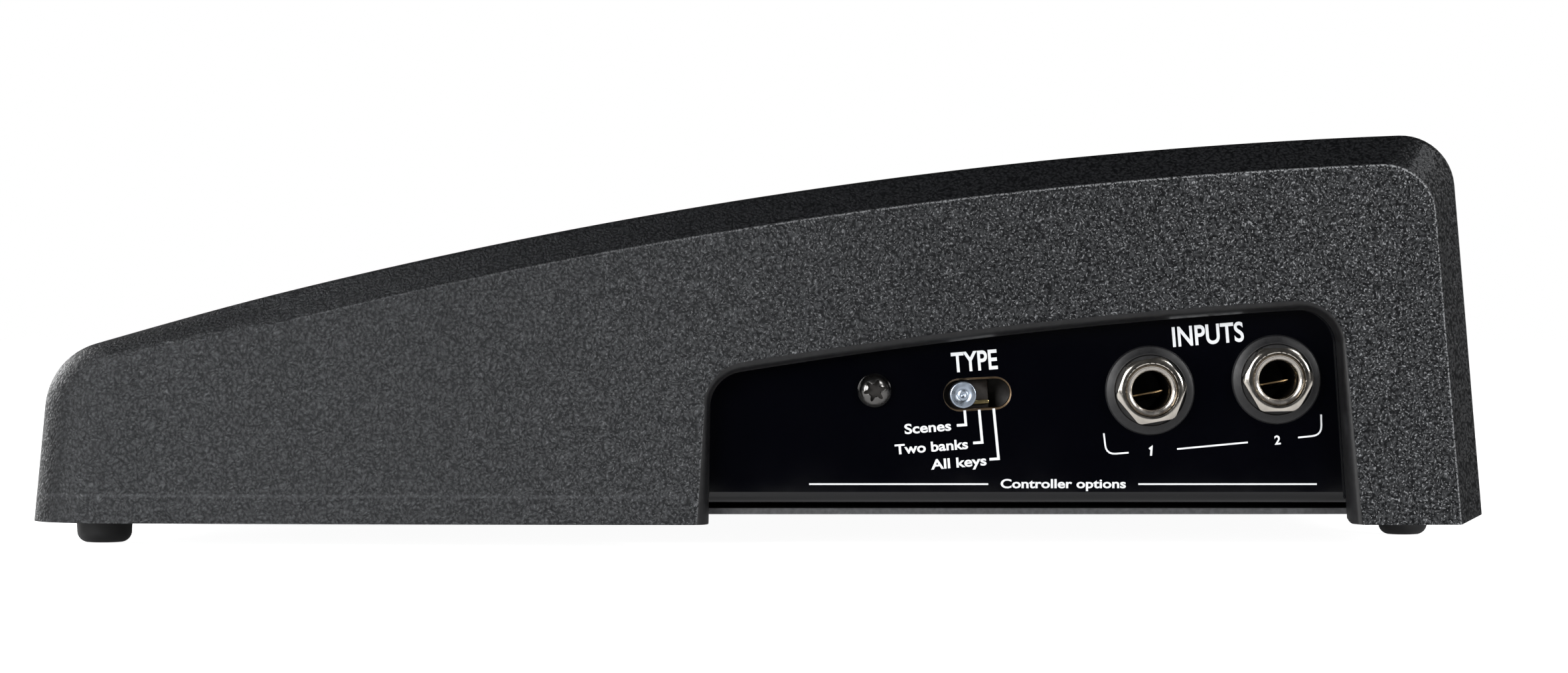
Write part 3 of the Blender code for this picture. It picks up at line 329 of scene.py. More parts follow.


# A finish is a material slot's name and the material.
FINISHES = {
    "leather": ("cheek_plastic", leather_plastic()),
    # The edge finish has denser, brighter painted glints: a painted highlight line along edges that catch the
    # light.
    "edge": ("cheek_plastic", leather_plastic("cheek_edge_glints", 0.44, (0.30, 0.305, 0.315))),
    "lip": ("cheek_plastic", satin_paint("smooth_plastic", (0.005, 0.005, 0.006), 900.0, 0.36, 0.00003)),
    "lacquer": ("panel_gloss", gloss_black()),
    "chassis": ("chassis_paint", satin_paint("chassis_powder", (0.024, 0.025, 0.028), 1900.0, 0.52, 0.00007)),
    "base": ("base_steel", satin_paint("base_powder", (0.050, 0.051, 0.054), 1300.0, 0.45, 0.00005)),
    "black": ("black_plastic", moulded_black("moulded_black", (0.014, 0.014, 0.0155), 0.38)),
    "cavity": ("black_plastic", moulded_black("jack_inside", (0.010, 0.008, 0.006), 0.5)),
    "washer": ("black_plastic", moulded_black("washer_black", (0.010, 0.010, 0.011), 0.42)),
    "switch_case": ("bracket_steel", moulded_black("switch_inside", (0.014, 0.009, 0.006), 0.5)),
    "nickel": ("nickel", plated("bright_nickel", (0.80, 0.75, 0.68), 0.13)),
    "turned": ("nickel", plated("turned_nickel", (0.66, 0.62, 0.57), 0.20, 0.000012)),
    "button": ("nickel", plated("button_chrome", (0.72, 0.73, 0.74), 0.10, 0.000003)),
    "screw": ("dark_nickel", plated("screw_steel", (0.20, 0.195, 0.19), 0.20)),
    "zinc": ("zinc", plated("zinc_pin", (0.47, 0.54, 0.64), 0.27, 0.000004, 0.15)),
    "brass": ("nickel", plated("contact_brass", (0.46, 0.33, 0.18), 0.30)),
    "bracket": ("bracket_steel", plated("bracket_bronze", (0.15, 0.105, 0.065), 0.36, 0.0, 0.35)),
    "spring": ("bracket_steel", plated("spring_bronze", (0.34, 0.27, 0.13), 0.35, 0.0, 0.35)),
    "rubber": ("rubber", rubber()),
    "lens": ("lamp_red", tinted_lens()),
    "window": ("smoked_window", smoked_acrylic()),
    "ink": ("panel_gloss", ink("ink_white", (0.86, 0.88, 0.90))),
    "ink_grey": ("chassis_paint", ink("ink_grey", (0.42, 0.43, 0.45))),
    "segment": ("smoked_window", ink("segment_dim", (0.075, 0.012, 0.010), 0.25)),
    "board": ("board_green", circuit_board()),
}


# ==== mesh helpers ====
def new_object(name, mesh, matrix=None):
    item = bpy.data.objects.new(name, mesh)
    PIECES.objects.link(item)
    item.matrix_world = matrix or Matrix()
    return item


def bake(item):
    """The item's evaluated mesh as plain data; the item is removed."""
    bpy.context.view_layer.update()
    evaluated = item.evaluated_get(bpy.context.evaluated_depsgraph_get())
    mesh = bpy.data.meshes.new_from_object(evaluated)
    bpy.data.objects.remove(item, do_unlink=True)
    return mesh


def mesh_from(bm):
    bmesh.ops.recalc_face_normals(bm, faces=bm.faces)
    mesh = bpy.data.meshes.new("piece")
    bm.to_mesh(mesh)
    bm.free()
    return mesh


def thickened(bm, shift):
    """The flat faces as a solid, from where they are to a copy moved by shift."""
    grown = bmesh.ops.extrude_face_region(bm, geom=bm.faces[:])["geom"]
    bmesh.ops.translate(bm, vec=shift, verts=[v for v in grown if isinstance(v, bmesh.types.BMVert)])
    return mesh_from(bm)


def piece(name, mesh, finish, body=HOUSING, matrix=None, replaces=(), smooth=32.0):
    """A finished visible piece: material, shading, the body it rides on and the nodes it stands for."""
    item = new_object(name, mesh, matrix)
    slot, material = FINISHES[finish]
    mesh.materials.clear()
    mesh.materials.append(material)
    mesh.shade_smooth()
    mesh.set_sharp_from_angle(angle=math.radians(smooth))
    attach(item, body)
    if replaces:
        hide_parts(*replaces)
    return item


def with_modifier(item, kind, **settings):
    modifier = item.modifiers.new(kind.lower(), kind)
    for key, value in settings.items():
        setattr(modifier, key, value)
    return modifier


def combine(mesh, operation, *others):
    """The mesh after a Boolean step with each of the others."""
    item = new_object("work", mesh)
    helpers = [new_object("work_cut", other) for other in others]
    for helper in helpers:
        with_modifier(item, "BOOLEAN", operation=operation, solver="EXACT", object=helper)
    result = bake(item)
    for helper in helpers:
        bpy.data.objects.remove(helper, do_unlink=True)
    return result


def cut(mesh, *others):
    return combine(mesh, "DIFFERENCE", *others)


def bevelled(mesh, width, segments=2, angle=30.0):
    item = new_object("work", mesh)
    with_modifier(item, "BEVEL", width=width, segments=segments, limit_method="ANGLE",
                  angle_limit=math.radians(angle), harden_normals=False)
    return bake(item)


def edges_bevelled(mesh, wanted, width):
    """Rounds the edges that wanted(edge) picks."""
    bm = bmesh.new()
    bm.from_mesh(mesh)
    bm.normal_update()
    picked = [edge for edge in bm.edges if len(edge.link_faces) == 2 and wanted(edge)]
    bmesh.ops.bevel(bm, geom=picked, offset=width, offset_type="OFFSET", segments=3, profile=0.5,
                    affect="EDGES", clamp_overlap=True)
    return mesh_from(bm)


def moved(mesh, matrix):
    copy = mesh.copy()
    copy.transform(matrix)
    return copy


def mirrored(mesh):
    copy = moved(mesh, Matrix.Diagonal((-1, 1, 1, 1)))
    copy.flip_normals()
    return copy


def box(size, centre=(0, 0, 0)):
    bm = bmesh.new()
    bmesh.ops.create_cube(bm, size=1.0, matrix=Matrix.Translation(centre) @ Matrix.Diagonal((*size, 1.0)))
    return mesh_from(bm)


def rod(radius, low, high, steps=48, place=(0.0, 0.0)):
    bm = bmesh.new()
    bmesh.ops.create_cone(bm, cap_ends=True, segments=steps, radius1=radius, radius2=radius,
                          depth=high - low, matrix=Matrix.Translation((*place, (low + high) / 2)))
    return mesh_from(bm)


def hole(radius, matrix, steps=48):
    """A cutter for a round hole through a sheet."""
    return moved(rod(radius, -THROUGH, THROUGH, steps), matrix)


def turned(profile, closed=False, steps=64):
    """A round piece about Z from its (radius, z) profile, which runs down the outer side."""
    count = len(profile)
    edges = [(i, i + 1) for i in range(count - 1)]
    if closed:
        edges.append((count - 1, 0))
    mesh = bpy.data.meshes.new("turned")
    mesh.from_pydata([(radius, 0.0, z) for radius, z in profile], edges, [])
    item = new_object("work", mesh)
    with_modifier(item, "SCREW", axis="Z", steps=steps, render_steps=steps, use_merge_vertices=True,
                  merge_threshold=0.000001, use_smooth_shade=False)
    return bake(item)


def arc2(centre, radius, start, end, steps):
    """Points of a profile's arc; angles in degrees."""
    return [(centre[0] + radius * math.cos(math.radians(start + (end - start) * i / steps)),
             centre[1] + radius * math.sin(math.radians(start + (end - start) * i / steps)))
            for i in range(steps + 1)]


def prism(outline, low_x, high_x):
    bm = bmesh.new()
    bm.faces.new([bm.verts.new((low_x, y, z)) for y, z in outline])
    return thickened(bm, (high_x - low_x, 0, 0))


def smooth_step(low, high, value):
    t = min(1.0, max(0.0, (value - low) / (high - low)))
    return t * t * (3.0 - 2.0 * t)


# ==== outlines ====
def arc_points(centre, radius, start, end, steps):
    return [centre + radius * Vector((math.cos(start + (end - start) * i / steps),
                                      math.sin(start + (end - start) * i / steps)))
            for i in range(steps + 1)]


def leaning_wall(facing, inset, roof_radius, corner, bottom):
    """A wall's foot, the centre of its round top corner, and that corner's two end angles."""
    draft = FRONT_DRAFT if facing > 0 else REAR_DRAFT
    along = Vector((facing * math.sin(draft), math.cos(draft)))
    inward = Vector((facing * math.cos(draft), -math.sin(draft)))
    start = Vector((-facing * DEPTH / 2, FLOOR_GAP)) + inset * inward
    foot = start + along * ((bottom - start.y) / along.y)
    centre = Vector(RIM_CENTRE)
    away = start + corner * inward - centre
    reach = roof_radius - corner
    lean = away.dot(along)
    middle = away + (-lean + math.sqrt(lean * lean - away.length_squared + reach * reach)) * along
    return foot, centre + middle, math.atan2(-inward.y, -inward.x), math.atan2(middle.y, middle.x)


def side_outline(insets, corners, bottoms):
    """(y, z) points up the front wall, over the roof arc and down the rear wall."""
    roof_radius = RIM_RADIUS - insets[1]
    front_foot, front_middle, front_wall, front_roof = leaning_wall(
        1, insets[0], roof_radius, corners[0], bottoms[0])
    rear_foot, rear_middle, rear_wall, rear_roof = leaning_wall(
        -1, insets[2], roof_radius, corners[1], bottoms[1])
    front_arc = arc_points(front_middle, corners[0], front_wall, front_roof, CORNER_STEPS)
    roof_arc = arc_points(Vector(RIM_CENTRE), roof_radius, front_roof, rear_roof, ROOF_STEPS)
    rear_arc = arc_points(rear_middle, corners[1], rear_roof, rear_wall, CORNER_STEPS)
    return [front_foot, *front_arc, *roof_arc[1:-1], *rear_arc, rear_foot]


def arch_outline(shape, grow, bottom, steps=14):
    """(y, z) outline of the side recess, grown outward by grow and open downward to bottom.

    shape is the front foot's y and its lean, the rear foot's y and its lean, the rim arc to the
    recess's arc, and the corner radius.
    """
    front_y, front_lean, rear_y, rear_lean, inset, corner = shape
    radius = RIM_RADIUS - inset + grow
    corner += grow
    centre = Vector(RIM_CENTRE)
    reach = radius - corner
    middles = []
    for foot, lean, side in ((front_y - grow, front_lean, 1), (rear_y + grow, rear_lean, -1)):
        middle = Vector((foot + side * corner, 0.0))
        for _ in range(4):
            middle.y = centre.y + math.sqrt(reach ** 2 - (middle.x - centre.x) ** 2)
            middle.x = foot + side * ((middle.y - FLOOR_GAP) * math.tan(lean) + corner / math.cos(lean))
        middles.append(middle)
    angles = [math.atan2(*reversed(middle - centre)) for middle in middles]
    drop = FLOOR_GAP - bottom
    return [Vector((front_y - grow - drop * math.tan(front_lean), bottom)),
            *arc_points(middles[0], corner, math.pi - front_lean, angles[0], steps),
            *arc_points(centre, radius, *angles, 3 * steps)[1:-1],
            *arc_points(middles[1], corner, angles[1], rear_lean, steps),
            Vector((rear_y + grow + drop * math.tan(rear_lean), bottom))]


def slot_outline(centre, tilt, length, width, steps=16):
    radius = width / 2
    run = length / 2 - radius
    points = []
    for end, start in ((1, -math.pi / 2), (-1, math.pi / 2)):
        for step in range(steps + 1):
            angle = start + math.pi * step / steps
            points.append((end * run + radius * math.cos(angle), radius * math.sin(angle)))
    cos_tilt, sin_tilt = math.cos(tilt), math.sin(tilt)
    return [(centre[0] + y * cos_tilt - z * sin_tilt, centre[1] + y * sin_tilt + z * cos_tilt)
            for y, z in points]


def roof_matrix(x, y):
    radius = RIM_RADIUS - CHASSIS_SINK
    angle = math.asin((y - RIM_CENTRE[0]) / radius)
    height = RIM_CENTRE[1] + radius * math.cos(angle)
    return Matrix.Translation((x, y, height)) @ Matrix.Rotation(-angle, 4, "X")


def rear_matrix(x, z):
    inward = Vector((-math.cos(REAR_DRAFT), -math.sin(REAR_DRAFT)))
    start = Vector((DEPTH / 2, FLOOR_GAP)) + CHASSIS_INSETS[2] * inward
    y = start.x - (z - start.y) * math.tan(REAR_DRAFT)
    return Matrix.Translation((x, y, z)) @ Matrix.Rotation(REAR_DRAFT - math.pi / 2, 4, "X")


def panel_matrix(place, tilt=0.0, x=PANEL_X):
    turn = Matrix(((0, 0, 1, 0), (1, 0, 0, 0), (0, 1, 0, 0), (0, 0, 0, 1)))
    return Matrix.Translation((x, place[0], place[1])) @ turn @ Matrix.Rotation(tilt, 4, "Z")


def on_panel(node):
    middle = centre_of(node)
    return panel_matrix((middle.y, middle.z))


def spun(matrix, degrees):
    return matrix @ Matrix.Rotation(math.radians(degrees), 4, "Z")


# ==== cheeks ====
def face_bow(y):
    front = max(0.0, (FRONT_BOW_START - y) / (FRONT_BOW_START + DEPTH / 2))
    rear = max(0.0, (y - REAR_BOW_START) / (DEPTH / 2 - REAR_BOW_START))
    return FRONT_BOW * front ** 2 + REAR_BOW * rear ** 2


def band_rings(edge, rim, face_x, extra_depth):
    rings = []
    for step in range(BAND_STEPS + 1):
        s = step / BAND_STEPS
        ring = []
        for edge_point, rim_point in zip(edge, rim):
            round_share = 1.0 - smooth_step(ROUND_START, ROUND_END, rim_point.x)
            depth = BEVEL_DEPTH + (ROUND_DEPTH - BEVEL_DEPTH) * round_share + extra_depth
            across = (1 - round_share) * s + round_share * (1 - math.cos(s * math.pi / 2))
            outward = (1 - round_share) * s + round_share * math.sin(s * math.pi / 2)
            place = edge_point.lerp(rim_point, outward)
            ring.append((face_x - depth * across, place.x, place.y))
        rings.append(ring)
    return rings


def loft(rings):
    """A closed solid through the rings, with its vertex loops and its first end face."""
    bm = bmesh.new()
    loops = [[bm.verts.new(point) for point in ring] for ring in rings]
    count = len(rings[0])
    for near, far in zip(loops, loops[1:]):
        for i in range(count):
            j = (i + 1) % count
            bm.faces.new((near[i], near[j], far[j], far[i]))
    outer = bm.faces.new(loops[0])
    bm.faces.new(loops[-1])
    return bm, loops, outer


def ring_solid(rings, bow_from, edge_rounds=None):
    """A closed solid through the rings. edge_rounds maps a ring's index to a function of y that
    gives the rounding of that ring's edge, as a share of the Bevel modifier's width."""
    bm, loops, outer = loft(rings)
    count = len(rings[0])
    if edge_rounds:
        weights = bm.edges.layers.float.new("bevel_weight_edge")
        for index, share in edge_rounds.items():
            loop = loops[index]
            for i in range(count - 1):
                edge = bm.edges.get((loop[i], loop[i + 1]))
                edge[weights] = share((loop[i].co.y + loop[i + 1].co.y) / 2)
    slices = [outer]
    last_y = rings[0][0][1]
    for _, y, _ in rings[0][1:-1]:
        if y - last_y < 0.0015:
            continue
        last_y = y
        geometry = [*slices, *{e for f in slices for e in f.edges}, *{v for f in slices for v in f.verts}]
        cut = bmesh.ops.bisect_plane(bm, geom=geometry, dist=0.000005, plane_co=(0, y, 0), plane_no=(0, 1, 0))
        slices = [item for item in cut["geom"] if isinstance(item, bmesh.types.BMFace)]
    for vert in bm.verts:
        if vert.co.x > bow_from:
            vert.co.x -= face_bow(vert.co.y)
    return mesh_from(bm)


def crisp_share(y):
    """The bevel's crisp edge softens and fades out into the round front corner."""
    return 0.22 * smooth_step(-0.104, -0.070, y)


def rim_share(y):
    return 0.55 * smooth_step(-0.112, -0.086, y)


def cheek_mesh():
    bottom = FLOOR_GAP
    edge = side_outline((ROUND_FRONT, BEVEL_ROOF, BEVEL_REAR), (0.007, 0.0086), (bottom, bottom))
    rim = side_outline((0, 0, 0), RIM_CORNERS, (bottom, bottom + REAR_BOTTOM_RISE))
    rings = band_rings(edge, rim, WIDTH / 2, 0.0)
    rings.append([(CHEEK_INNER_X, point.x, point.y) for point in rim])
    outside = ring_solid(rings, CHEEK_INNER_X + 0.001, {
        0: crisp_share, BAND_STEPS: rim_share, BAND_STEPS + 1: lambda y: 0.55})
    work = new_object("work", outside)
    with_modifier(work, "BEVEL", width=0.0020, segments=4, limit_method="WEIGHT", offset_type="OFFSET",
                  harden_normals=False)
    return bake(work)


def hollow_mesh():
    wall = CHEEK_WALL
    bottom = FLOOR_GAP - CUT_MARGIN
    edge = side_outline((ROUND_FRONT + 0.0022, BEVEL_ROOF + 0.0025, BEVEL_REAR + 0.0025), (0.005, 0.006),
                        (bottom, bottom))
    rim = side_outline((wall, wall, wall), (RIM_CORNERS[0] - wall, RIM_CORNERS[1] - wall), (bottom, bottom))
    low = side_outline((2 * wall, INNER_WALL_DROP, 2 * wall), (0.004, 0.004), (bottom, bottom))
    rings = band_rings(edge, rim, WIDTH / 2 - wall, -0.0018)
    inner_wall_x = CHEEK_INNER_X + 0.0028
    rings.append([(inner_wall_x, point.x, point.y) for point in rim])
    rings.append([(inner_wall_x, point.x, point.y) for point in low])
    rings.append([(CHEEK_INNER_X - CUT_MARGIN, point.x, point.y) for point in low])
    return ring_solid(rings, inner_wall_x + 0.001)


def weighted_normals(item):
    with_modifier(item, "WEIGHTED_NORMAL", mode="FACE_AREA", weight=70, keep_sharp=True)


def recess_cutter(low):
    """What the recess removes: a small step at the face, a lip that rolls in, then the side walls."""
    outer = arch_outline(ARCH_OUTER, 0.0, low)
    inner = arch_outline(ARCH_INNER, 0.0, low)
    face_x = WIDTH / 2
    rings = [[(face_x + CUT_MARGIN, point.x, point.y) for point in outer]]
    steps = 9
    for i in range(steps + 1):
        angle = math.pi / 2 * i / steps
        depth = ARCH_STEP + ARCH_ROLL * (1 - math.cos(angle))
        ring = []
        for start, end in zip(outer, inner):
            point = start.lerp(end, math.sin(angle))
            ring.append((face_x - face_bow(point.x) - depth, point.x, point.y))
        rings.append(ring)
    rings.append([(PANEL_X - CUT_MARGIN, point.x, point.y) for point in inner])
    return mesh_from(loft(rings)[0])


def inside_arch(place):
    """Whether a point lies within the recess's outer edge, a little generously."""
    radius = RIM_RADIUS - ARCH_OUTER[4] + 0.0002
    return (place.y - RIM_CENTRE[0]) ** 2 + (place.z - RIM_CENTRE[1]) ** 2 < radius ** 2


def mark_crisp_edge(mesh):
    """Gives the narrow faces between the side and its bevel the edge finish, whose brighter specks are a painted
    highlight along the crisp edge.
    """
    mesh.materials.append(FINISHES["edge"][1])
    for face in mesh.polygons:
        if 0.72 < abs(face.normal.x) < 0.975 and face.center.y > ROUND_END:
            face.material_index = 1


def build_cheeks():
    outside = cheek_mesh()
    hollow = hollow_mesh()
    left = cut(mirrored(outside), mirrored(hollow))
    item = piece("cheek_left_shell", left, "leather", replaces=["cheek_left"], smooth=28.0)
    mark_crisp_edge(left)
    weighted_normals(item)

    low = FLOOR_GAP - 2 * CUT_MARGIN
    ring = prism(arch_outline(ARCH_CAD, ARCH_WALL, low), PANEL_X + FIT_GAP, WIDTH / 2 + CUT_MARGIN)
    right = cut(outside, cut(hollow, ring), recess_cutter(low))
    item = piece("cheek_right_shell", right, "leather", replaces=["cheek_right"], smooth=28.0)
    mark_crisp_edge(right)
    right.materials.append(FINISHES["lip"][1])
    for face in right.polygons:
        middle = face.center
        near = ARCH_OUTER[0] - 0.001 < middle.y < ARCH_OUTER[2] + 0.001 and middle.z > FLOOR_GAP + 0.00001
        if near and PANEL_X - 0.0005 < middle.x and inside_arch(middle):
            if face.normal.x < 0.985:
                face.material_index = 2
            # Faces just inside the recess's front edge get the edge finish: a painted highlight along that edge.
            elif face.normal.x < 0.9995 and middle.y < ARCH_INNER[0] and middle.z < 0.034:
                face.material_index = 1
    weighted_normals(item)


# ==== chassis, base plate, side panel ====
def sheet_mesh(points, low, high, thickness, across):
    """A bent sheet: a section swept from low to high; across picks the sweep's axis, x or y."""
    bm = bmesh.new()
    rows = []
    for a, b in points:
        rows.append([bm.verts.new((side, a, b) if across == "x" else (a, side, b)) for side in (low, high)])
    for near, far in zip(rows, rows[1:]):
        bm.faces.new((near[0], near[1], far[1], far[0]))
    mesh = bpy.data.meshes.new("sheet")
    bm.to_mesh(mesh)
    bm.free()
    work = new_object("work", mesh)
    with_modifier(work, "SOLIDIFY", thickness=thickness, offset=-1.0, use_even_offset=True)
    return bake(work)


def switch_place(index):
    return centre_of(f"footswitch_{index}_nut").x, SWITCH_ROWS[index > FRONT_ROW]


def build_chassis():
    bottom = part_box("chassis")[0].z
    outline = side_outline(CHASSIS_INSETS, (CHASSIS_CORNER, CHASSIS_CORNER), (bottom, bottom))
    sheet = sheet_mesh(outline, -CHASSIS_HALF, CHASSIS_HALF, CHASSIS_THICK, "x")
    cutters = []
    for index in range(1, SWITCH_COUNT + 1):
        x, y = switch_place(index)
        cutters.append(hole(0.0063, roof_matrix(x, y)))
        cutters.append(hole(0.0028, roof_matrix(x, y + LED_OFFSET), 32))
    low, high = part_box("display_window")
    size = (high.x - low.x + 2 * FIT_GAP, DISPLAY_SIZE[1] + 2 * FIT_GAP, 2 * THROUGH)
    cutters.append(moved(box(size), roof_matrix(0, SWITCH_ROWS[1])))
    for node, radius in (("link_jack_washer", 0.0047), ("data_socket", 0.0081)):
        cutters.append(hole(radius, rear_matrix(centre_of(node).x, SOCKET_HEIGHT)))
    item = piece("chassis_shell", bevelled(cut(sheet, *cutters), 0.00025, 2, 50.0), "chassis",
                 replaces=["chassis"], smooth=30.0)
    weighted_normals(item)


def on_face_hole(edge):
    """Whether an edge is the front rim of a hole or of the outline of the side panel."""
    normals = sorted(abs(face.normal.x) for face in edge.link_faces)
    middle = (edge.verts[0].co + edge.verts[1].co) / 2
    return normals[0] < 0.05 and normals[1] > 0.99 and middle.x > PANEL_X - 0.0001


def build_side_panel():
    bend_middle = Vector((PANEL_X - PANEL_BEND, PANEL_BOTTOM + PANEL_BEND))
    bend = arc_points(bend_middle, PANEL_BEND, -math.pi / 2, 0.0, 12)
    section = [(PANEL_X - PANEL_FLANGE, PANEL_BOTTOM), *[(p.x, p.y) for p in bend],
               (PANEL_X, PANEL_BOTTOM + 0.05)]
    sheet = sheet_mesh(section, ARCH_CAD[0] - PANEL_LAP, ARCH_CAD[2] + PANEL_LAP, PANEL_THICK, "y")
    shape = prism(arch_outline(ARCH_CAD, PANEL_LAP - 0.0002, 0.0), PANEL_X - 2 * THROUGH, PANEL_X + THROUGH)
    slot = prism(slot_outline(MODE_SLOT, MODE_TILT, *MODE_SLOT_SIZE), PANEL_X - THROUGH, PANEL_X + THROUGH)
    holes = [hole(radius, on_panel(node)) for node, radius in (
        ("panel_screw", 0.0018), ("control_jack_1_washer", 0.0047), ("control_jack_2_washer", 0.0047))]
    panel = cut(combine(sheet, "INTERSECT", shape), slot, *holes)
    panel = edges_bevelled(panel, on_face_hole, 0.00022)
    item = piece("side_panel_sheet", panel, "lacquer", replaces=["side_panel"], smooth=30.0)
    weighted_normals(item)


def build_base():
    """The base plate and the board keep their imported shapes; a fine bevel lets their edges catch the light."""
    sheets = (("base_plate", "base", 0.00015, 30.0), ("main_board", "board", 0.0002, 32.0))
    for node, finish, width, smooth in sheets:
        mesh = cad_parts[node].data.copy()
        item = piece(node + "_sheet", mesh, finish, replaces=[node], smooth=smooth)
        with_modifier(item, "BEVEL", width=width, segments=2, limit_method="ANGLE",
                      angle_limit=math.radians(40))


# ==== print ====
def text_mesh(string, height, width, weight=0.03):
    """Flat letters of a capital height and a total width, centred on their own origin.

    weight thickens the strokes, as a share of the height.
    """
    curve = bpy.data.curves.new("text", "FONT")
    curve.body = string
    curve.size = height / CAPITAL_SHARE
    curve.offset = weight * height
    curve.extrude = PRINT_LIFT / 2
    curve.resolution_u = 6
    item = bpy.data.objects.new("text", curve)
    PIECES.objects.link(item)
    mesh = bake(item)
    left = min(vert.co.x for vert in mesh.vertices)
    right = max(vert.co.x for vert in mesh.vertices)
    mesh.transform(Matrix.Diagonal((width / (right - left), 1.0, 1.0, 1.0)) @
                   Matrix.Translation((-(left + right) / 2, -height / 2, 0.0)))
    return mesh


def ribbon_mesh(points, width):
    """A flat printed line through (x, y) points with mitred corners."""
    rows = []
    for i, point in enumerate(points):
        here = Vector(point)
        before = (here - Vector(points[i - 1])).normalized() if i else None
        after = (Vector(points[i + 1]) - here).normalized() if i < len(points) - 1 else None
        before = before or after
        after = after or before
        normal = Vector((-(before.y + after.y), before.x + after.x)).normalized()
        reach = width / 2 / max(0.3, normal.dot(Vector((-before.y, before.x))))
        rows.append((here + normal * reach, here - normal * reach))
    bm = bmesh.new()
    strips = [[bm.verts.new((p.x, p.y, 0.0)) for p in row] for row in rows]
    for near, far in zip(strips, strips[1:]):
        bm.faces.new((near[0], near[1], far[1], far[0]))
    return thickened(bm, (0, 0, PRINT_LIFT))


def round_corner(before, corner, after, radius, steps=5):
    """Points that replace a polyline's corner with a quarter turn."""
    a, b, c = Vector(before), Vector(corner), Vector(after)
    start = b + (a - b).normalized() * radius
    end = b + (c - b).normalized() * radius
    points = []
    for i in range(steps + 1):
        t = i / steps
        points.append(tuple((1 - t) ** 2 * start + 2 * t * (1 - t) * b + t * t * end))
    return points


def build_panel_print():
    """Generic words and numbers in the places and sizes that such a panel has them.

    Places are y and the height over the cheek's foot.
    """
    lift = PANEL_X + PRINT_LIFT
    heading, setting, small = (0.0032, 0.028), (0.00160, 0.035), (0.00145, 0.035)   # height and weight
    words = (
        ("print_type", "TYPE", (0.0366, 0.0269), heading, 0.0076),
        ("print_inputs", "INPUTS", (0.0752, 0.0313), heading, 0.0118),
        ("print_setting_a", "Scenes", (0.0289, 0.0159), setting, 0.0077),
        ("print_setting_b", "Two banks", (0.0295, 0.0127), setting, 0.0121),
        ("print_setting_c", "All keys", (0.0340, 0.0101), setting, 0.0092),
        ("print_two", "2", (0.0867, 0.0138), small, 0.00100),
        ("print_caption", "Controller options", (0.0513, 0.0066), small, 0.0207),
    )
    for name, string, (y, z), (height, weight), width in words:
        tilt = 0.0 if name == "print_caption" else PRINT_SLOPE
        mesh = text_mesh(string, height, width, weight)
        piece(name, mesh, "ink", matrix=panel_matrix((y, z + FLOOR_GAP), tilt, lift))
    fine, bold = 0.00028, 0.00044
    hook_one = (0.0580, 0.0149), (0.0584, 0.0114), (0.0621, 0.0117)
    hook_two = (0.0901, 0.0142), (0.0940, 0.0146), (0.0939, 0.0180)
    lines = (
        ("print_one", 0.00034, [(0.0655, 0.0123), (0.0659, 0.0126), (0.0658, 0.0112)]),
        ("print_rule_left", fine, [(0.0093, 0.0065), (0.0389, 0.0065)]),
        ("print_rule_right", fine, [(0.0637, 0.0065), (0.0932, 0.0065)]),
        ("print_lead_a", bold, [(0.0350, 0.0187), (0.0352, 0.0163), (0.0337, 0.0162)]),
        ("print_lead_b", bold, [(0.0374, 0.0188), (0.0379, 0.0134), (0.0364, 0.0133)]),
        ("print_lead_c", bold, [(0.0398, 0.0190), (0.0406, 0.0107), (0.0391, 0.0106)]),
        ("print_join", fine, [(0.0701, 0.0123), (0.0818, 0.0134)]),
        ("print_hook_one", fine, [hook_one[0], *round_corner(*hook_one, 0.0016), hook_one[2]]),
        ("print_hook_two", fine, [hook_two[0], *round_corner(*hook_two, 0.0016), hook_two[2]]),
    )
    for name, width, points in lines:
        mesh = ribbon_mesh([(y, z + FLOOR_GAP) for y, z in points], width)
        piece(name, mesh, "ink", matrix=panel_matrix((0, 0), 0.0, lift))


ROOF_MARK_WIDTHS = {"1": 0.0008, "2": 0.0034, "3": 0.0034, "4": 0.0038, "5": 0.0034, "-": 0.0026, "+": 0.0042}


def build_roof_print():
    """Switch numbers, plus and minus signs and thin rules on the top panel."""
    lift = Matrix.Translation((0, 0, PRINT_LIFT))
    for index in range(1, SWITCH_COUNT + 1):
        x, y = switch_place(index)
        string = str(index) if index <= FRONT_ROW else ("-" if x < 0 else "+")
        mark = text_mesh(string, 0.0060, ROOF_MARK_WIDTHS[string], 0.02)
        piece(f"roof_mark_{index}", mark, "ink", matrix=roof_matrix(x + 0.0135, y + LED_OFFSET) @ lift)
        rule = ribbon_mesh([(-0.022, 0.0), (0.022, 0.0)], 0.0006)
        piece(f"roof_rule_{index}", rule, "ink_grey", matrix=roof_matrix(x, y + LED_OFFSET + 0.0075) @ lift)


# ==== hardware ====
def rounded_hexagon(across, low, high, rounding):
    bm = bmesh.new()
    radius = across / math.sqrt(3)
    bmesh.ops.create_cone(bm, cap_ends=True, segments=6, radius1=radius, radius2=radius, depth=high - low,
                          matrix=Matrix.Translation((0, 0, (low + high) / 2)))
    upright = [edge for edge in bm.edges if abs(edge.verts[0].co.z - edge.verts[1].co.z) > (high - low) / 2]
    bmesh.ops.bevel(bm, geom=upright, offset=rounding, offset_type="OFFSET", segments=5, profile=0.5,
                    affect="EDGES")
    return mesh_from(bm)


def domed_nut(across, bore, low, high, face_radius, dome_drop):
    """A hexagon nut whose crown is turned to a dome, with a flat ring round the bore."""
    corner = across / math.sqrt(3)
    crown = [(0.0, high)]
    steps = 14
    for i in range(steps + 1):
        t = i / steps
        crown.append((face_radius + (corner + 0.0002 - face_radius) * math.sin(t * math.pi / 2),
                      high - dome_drop * (1 - math.cos(t * math.pi / 2))))
    crown += [(corner + 0.0002, low - 0.001), (0.0, low - 0.001)]
    nut = combine(rounded_hexagon(across, low, high + 0.0005, 0.0006), "INTERSECT", turned(crown, steps=96))
    return bevelled(cut(nut, rod(bore, low - THROUGH, high + THROUGH, 64)), 0.00009, 2, 24.0)


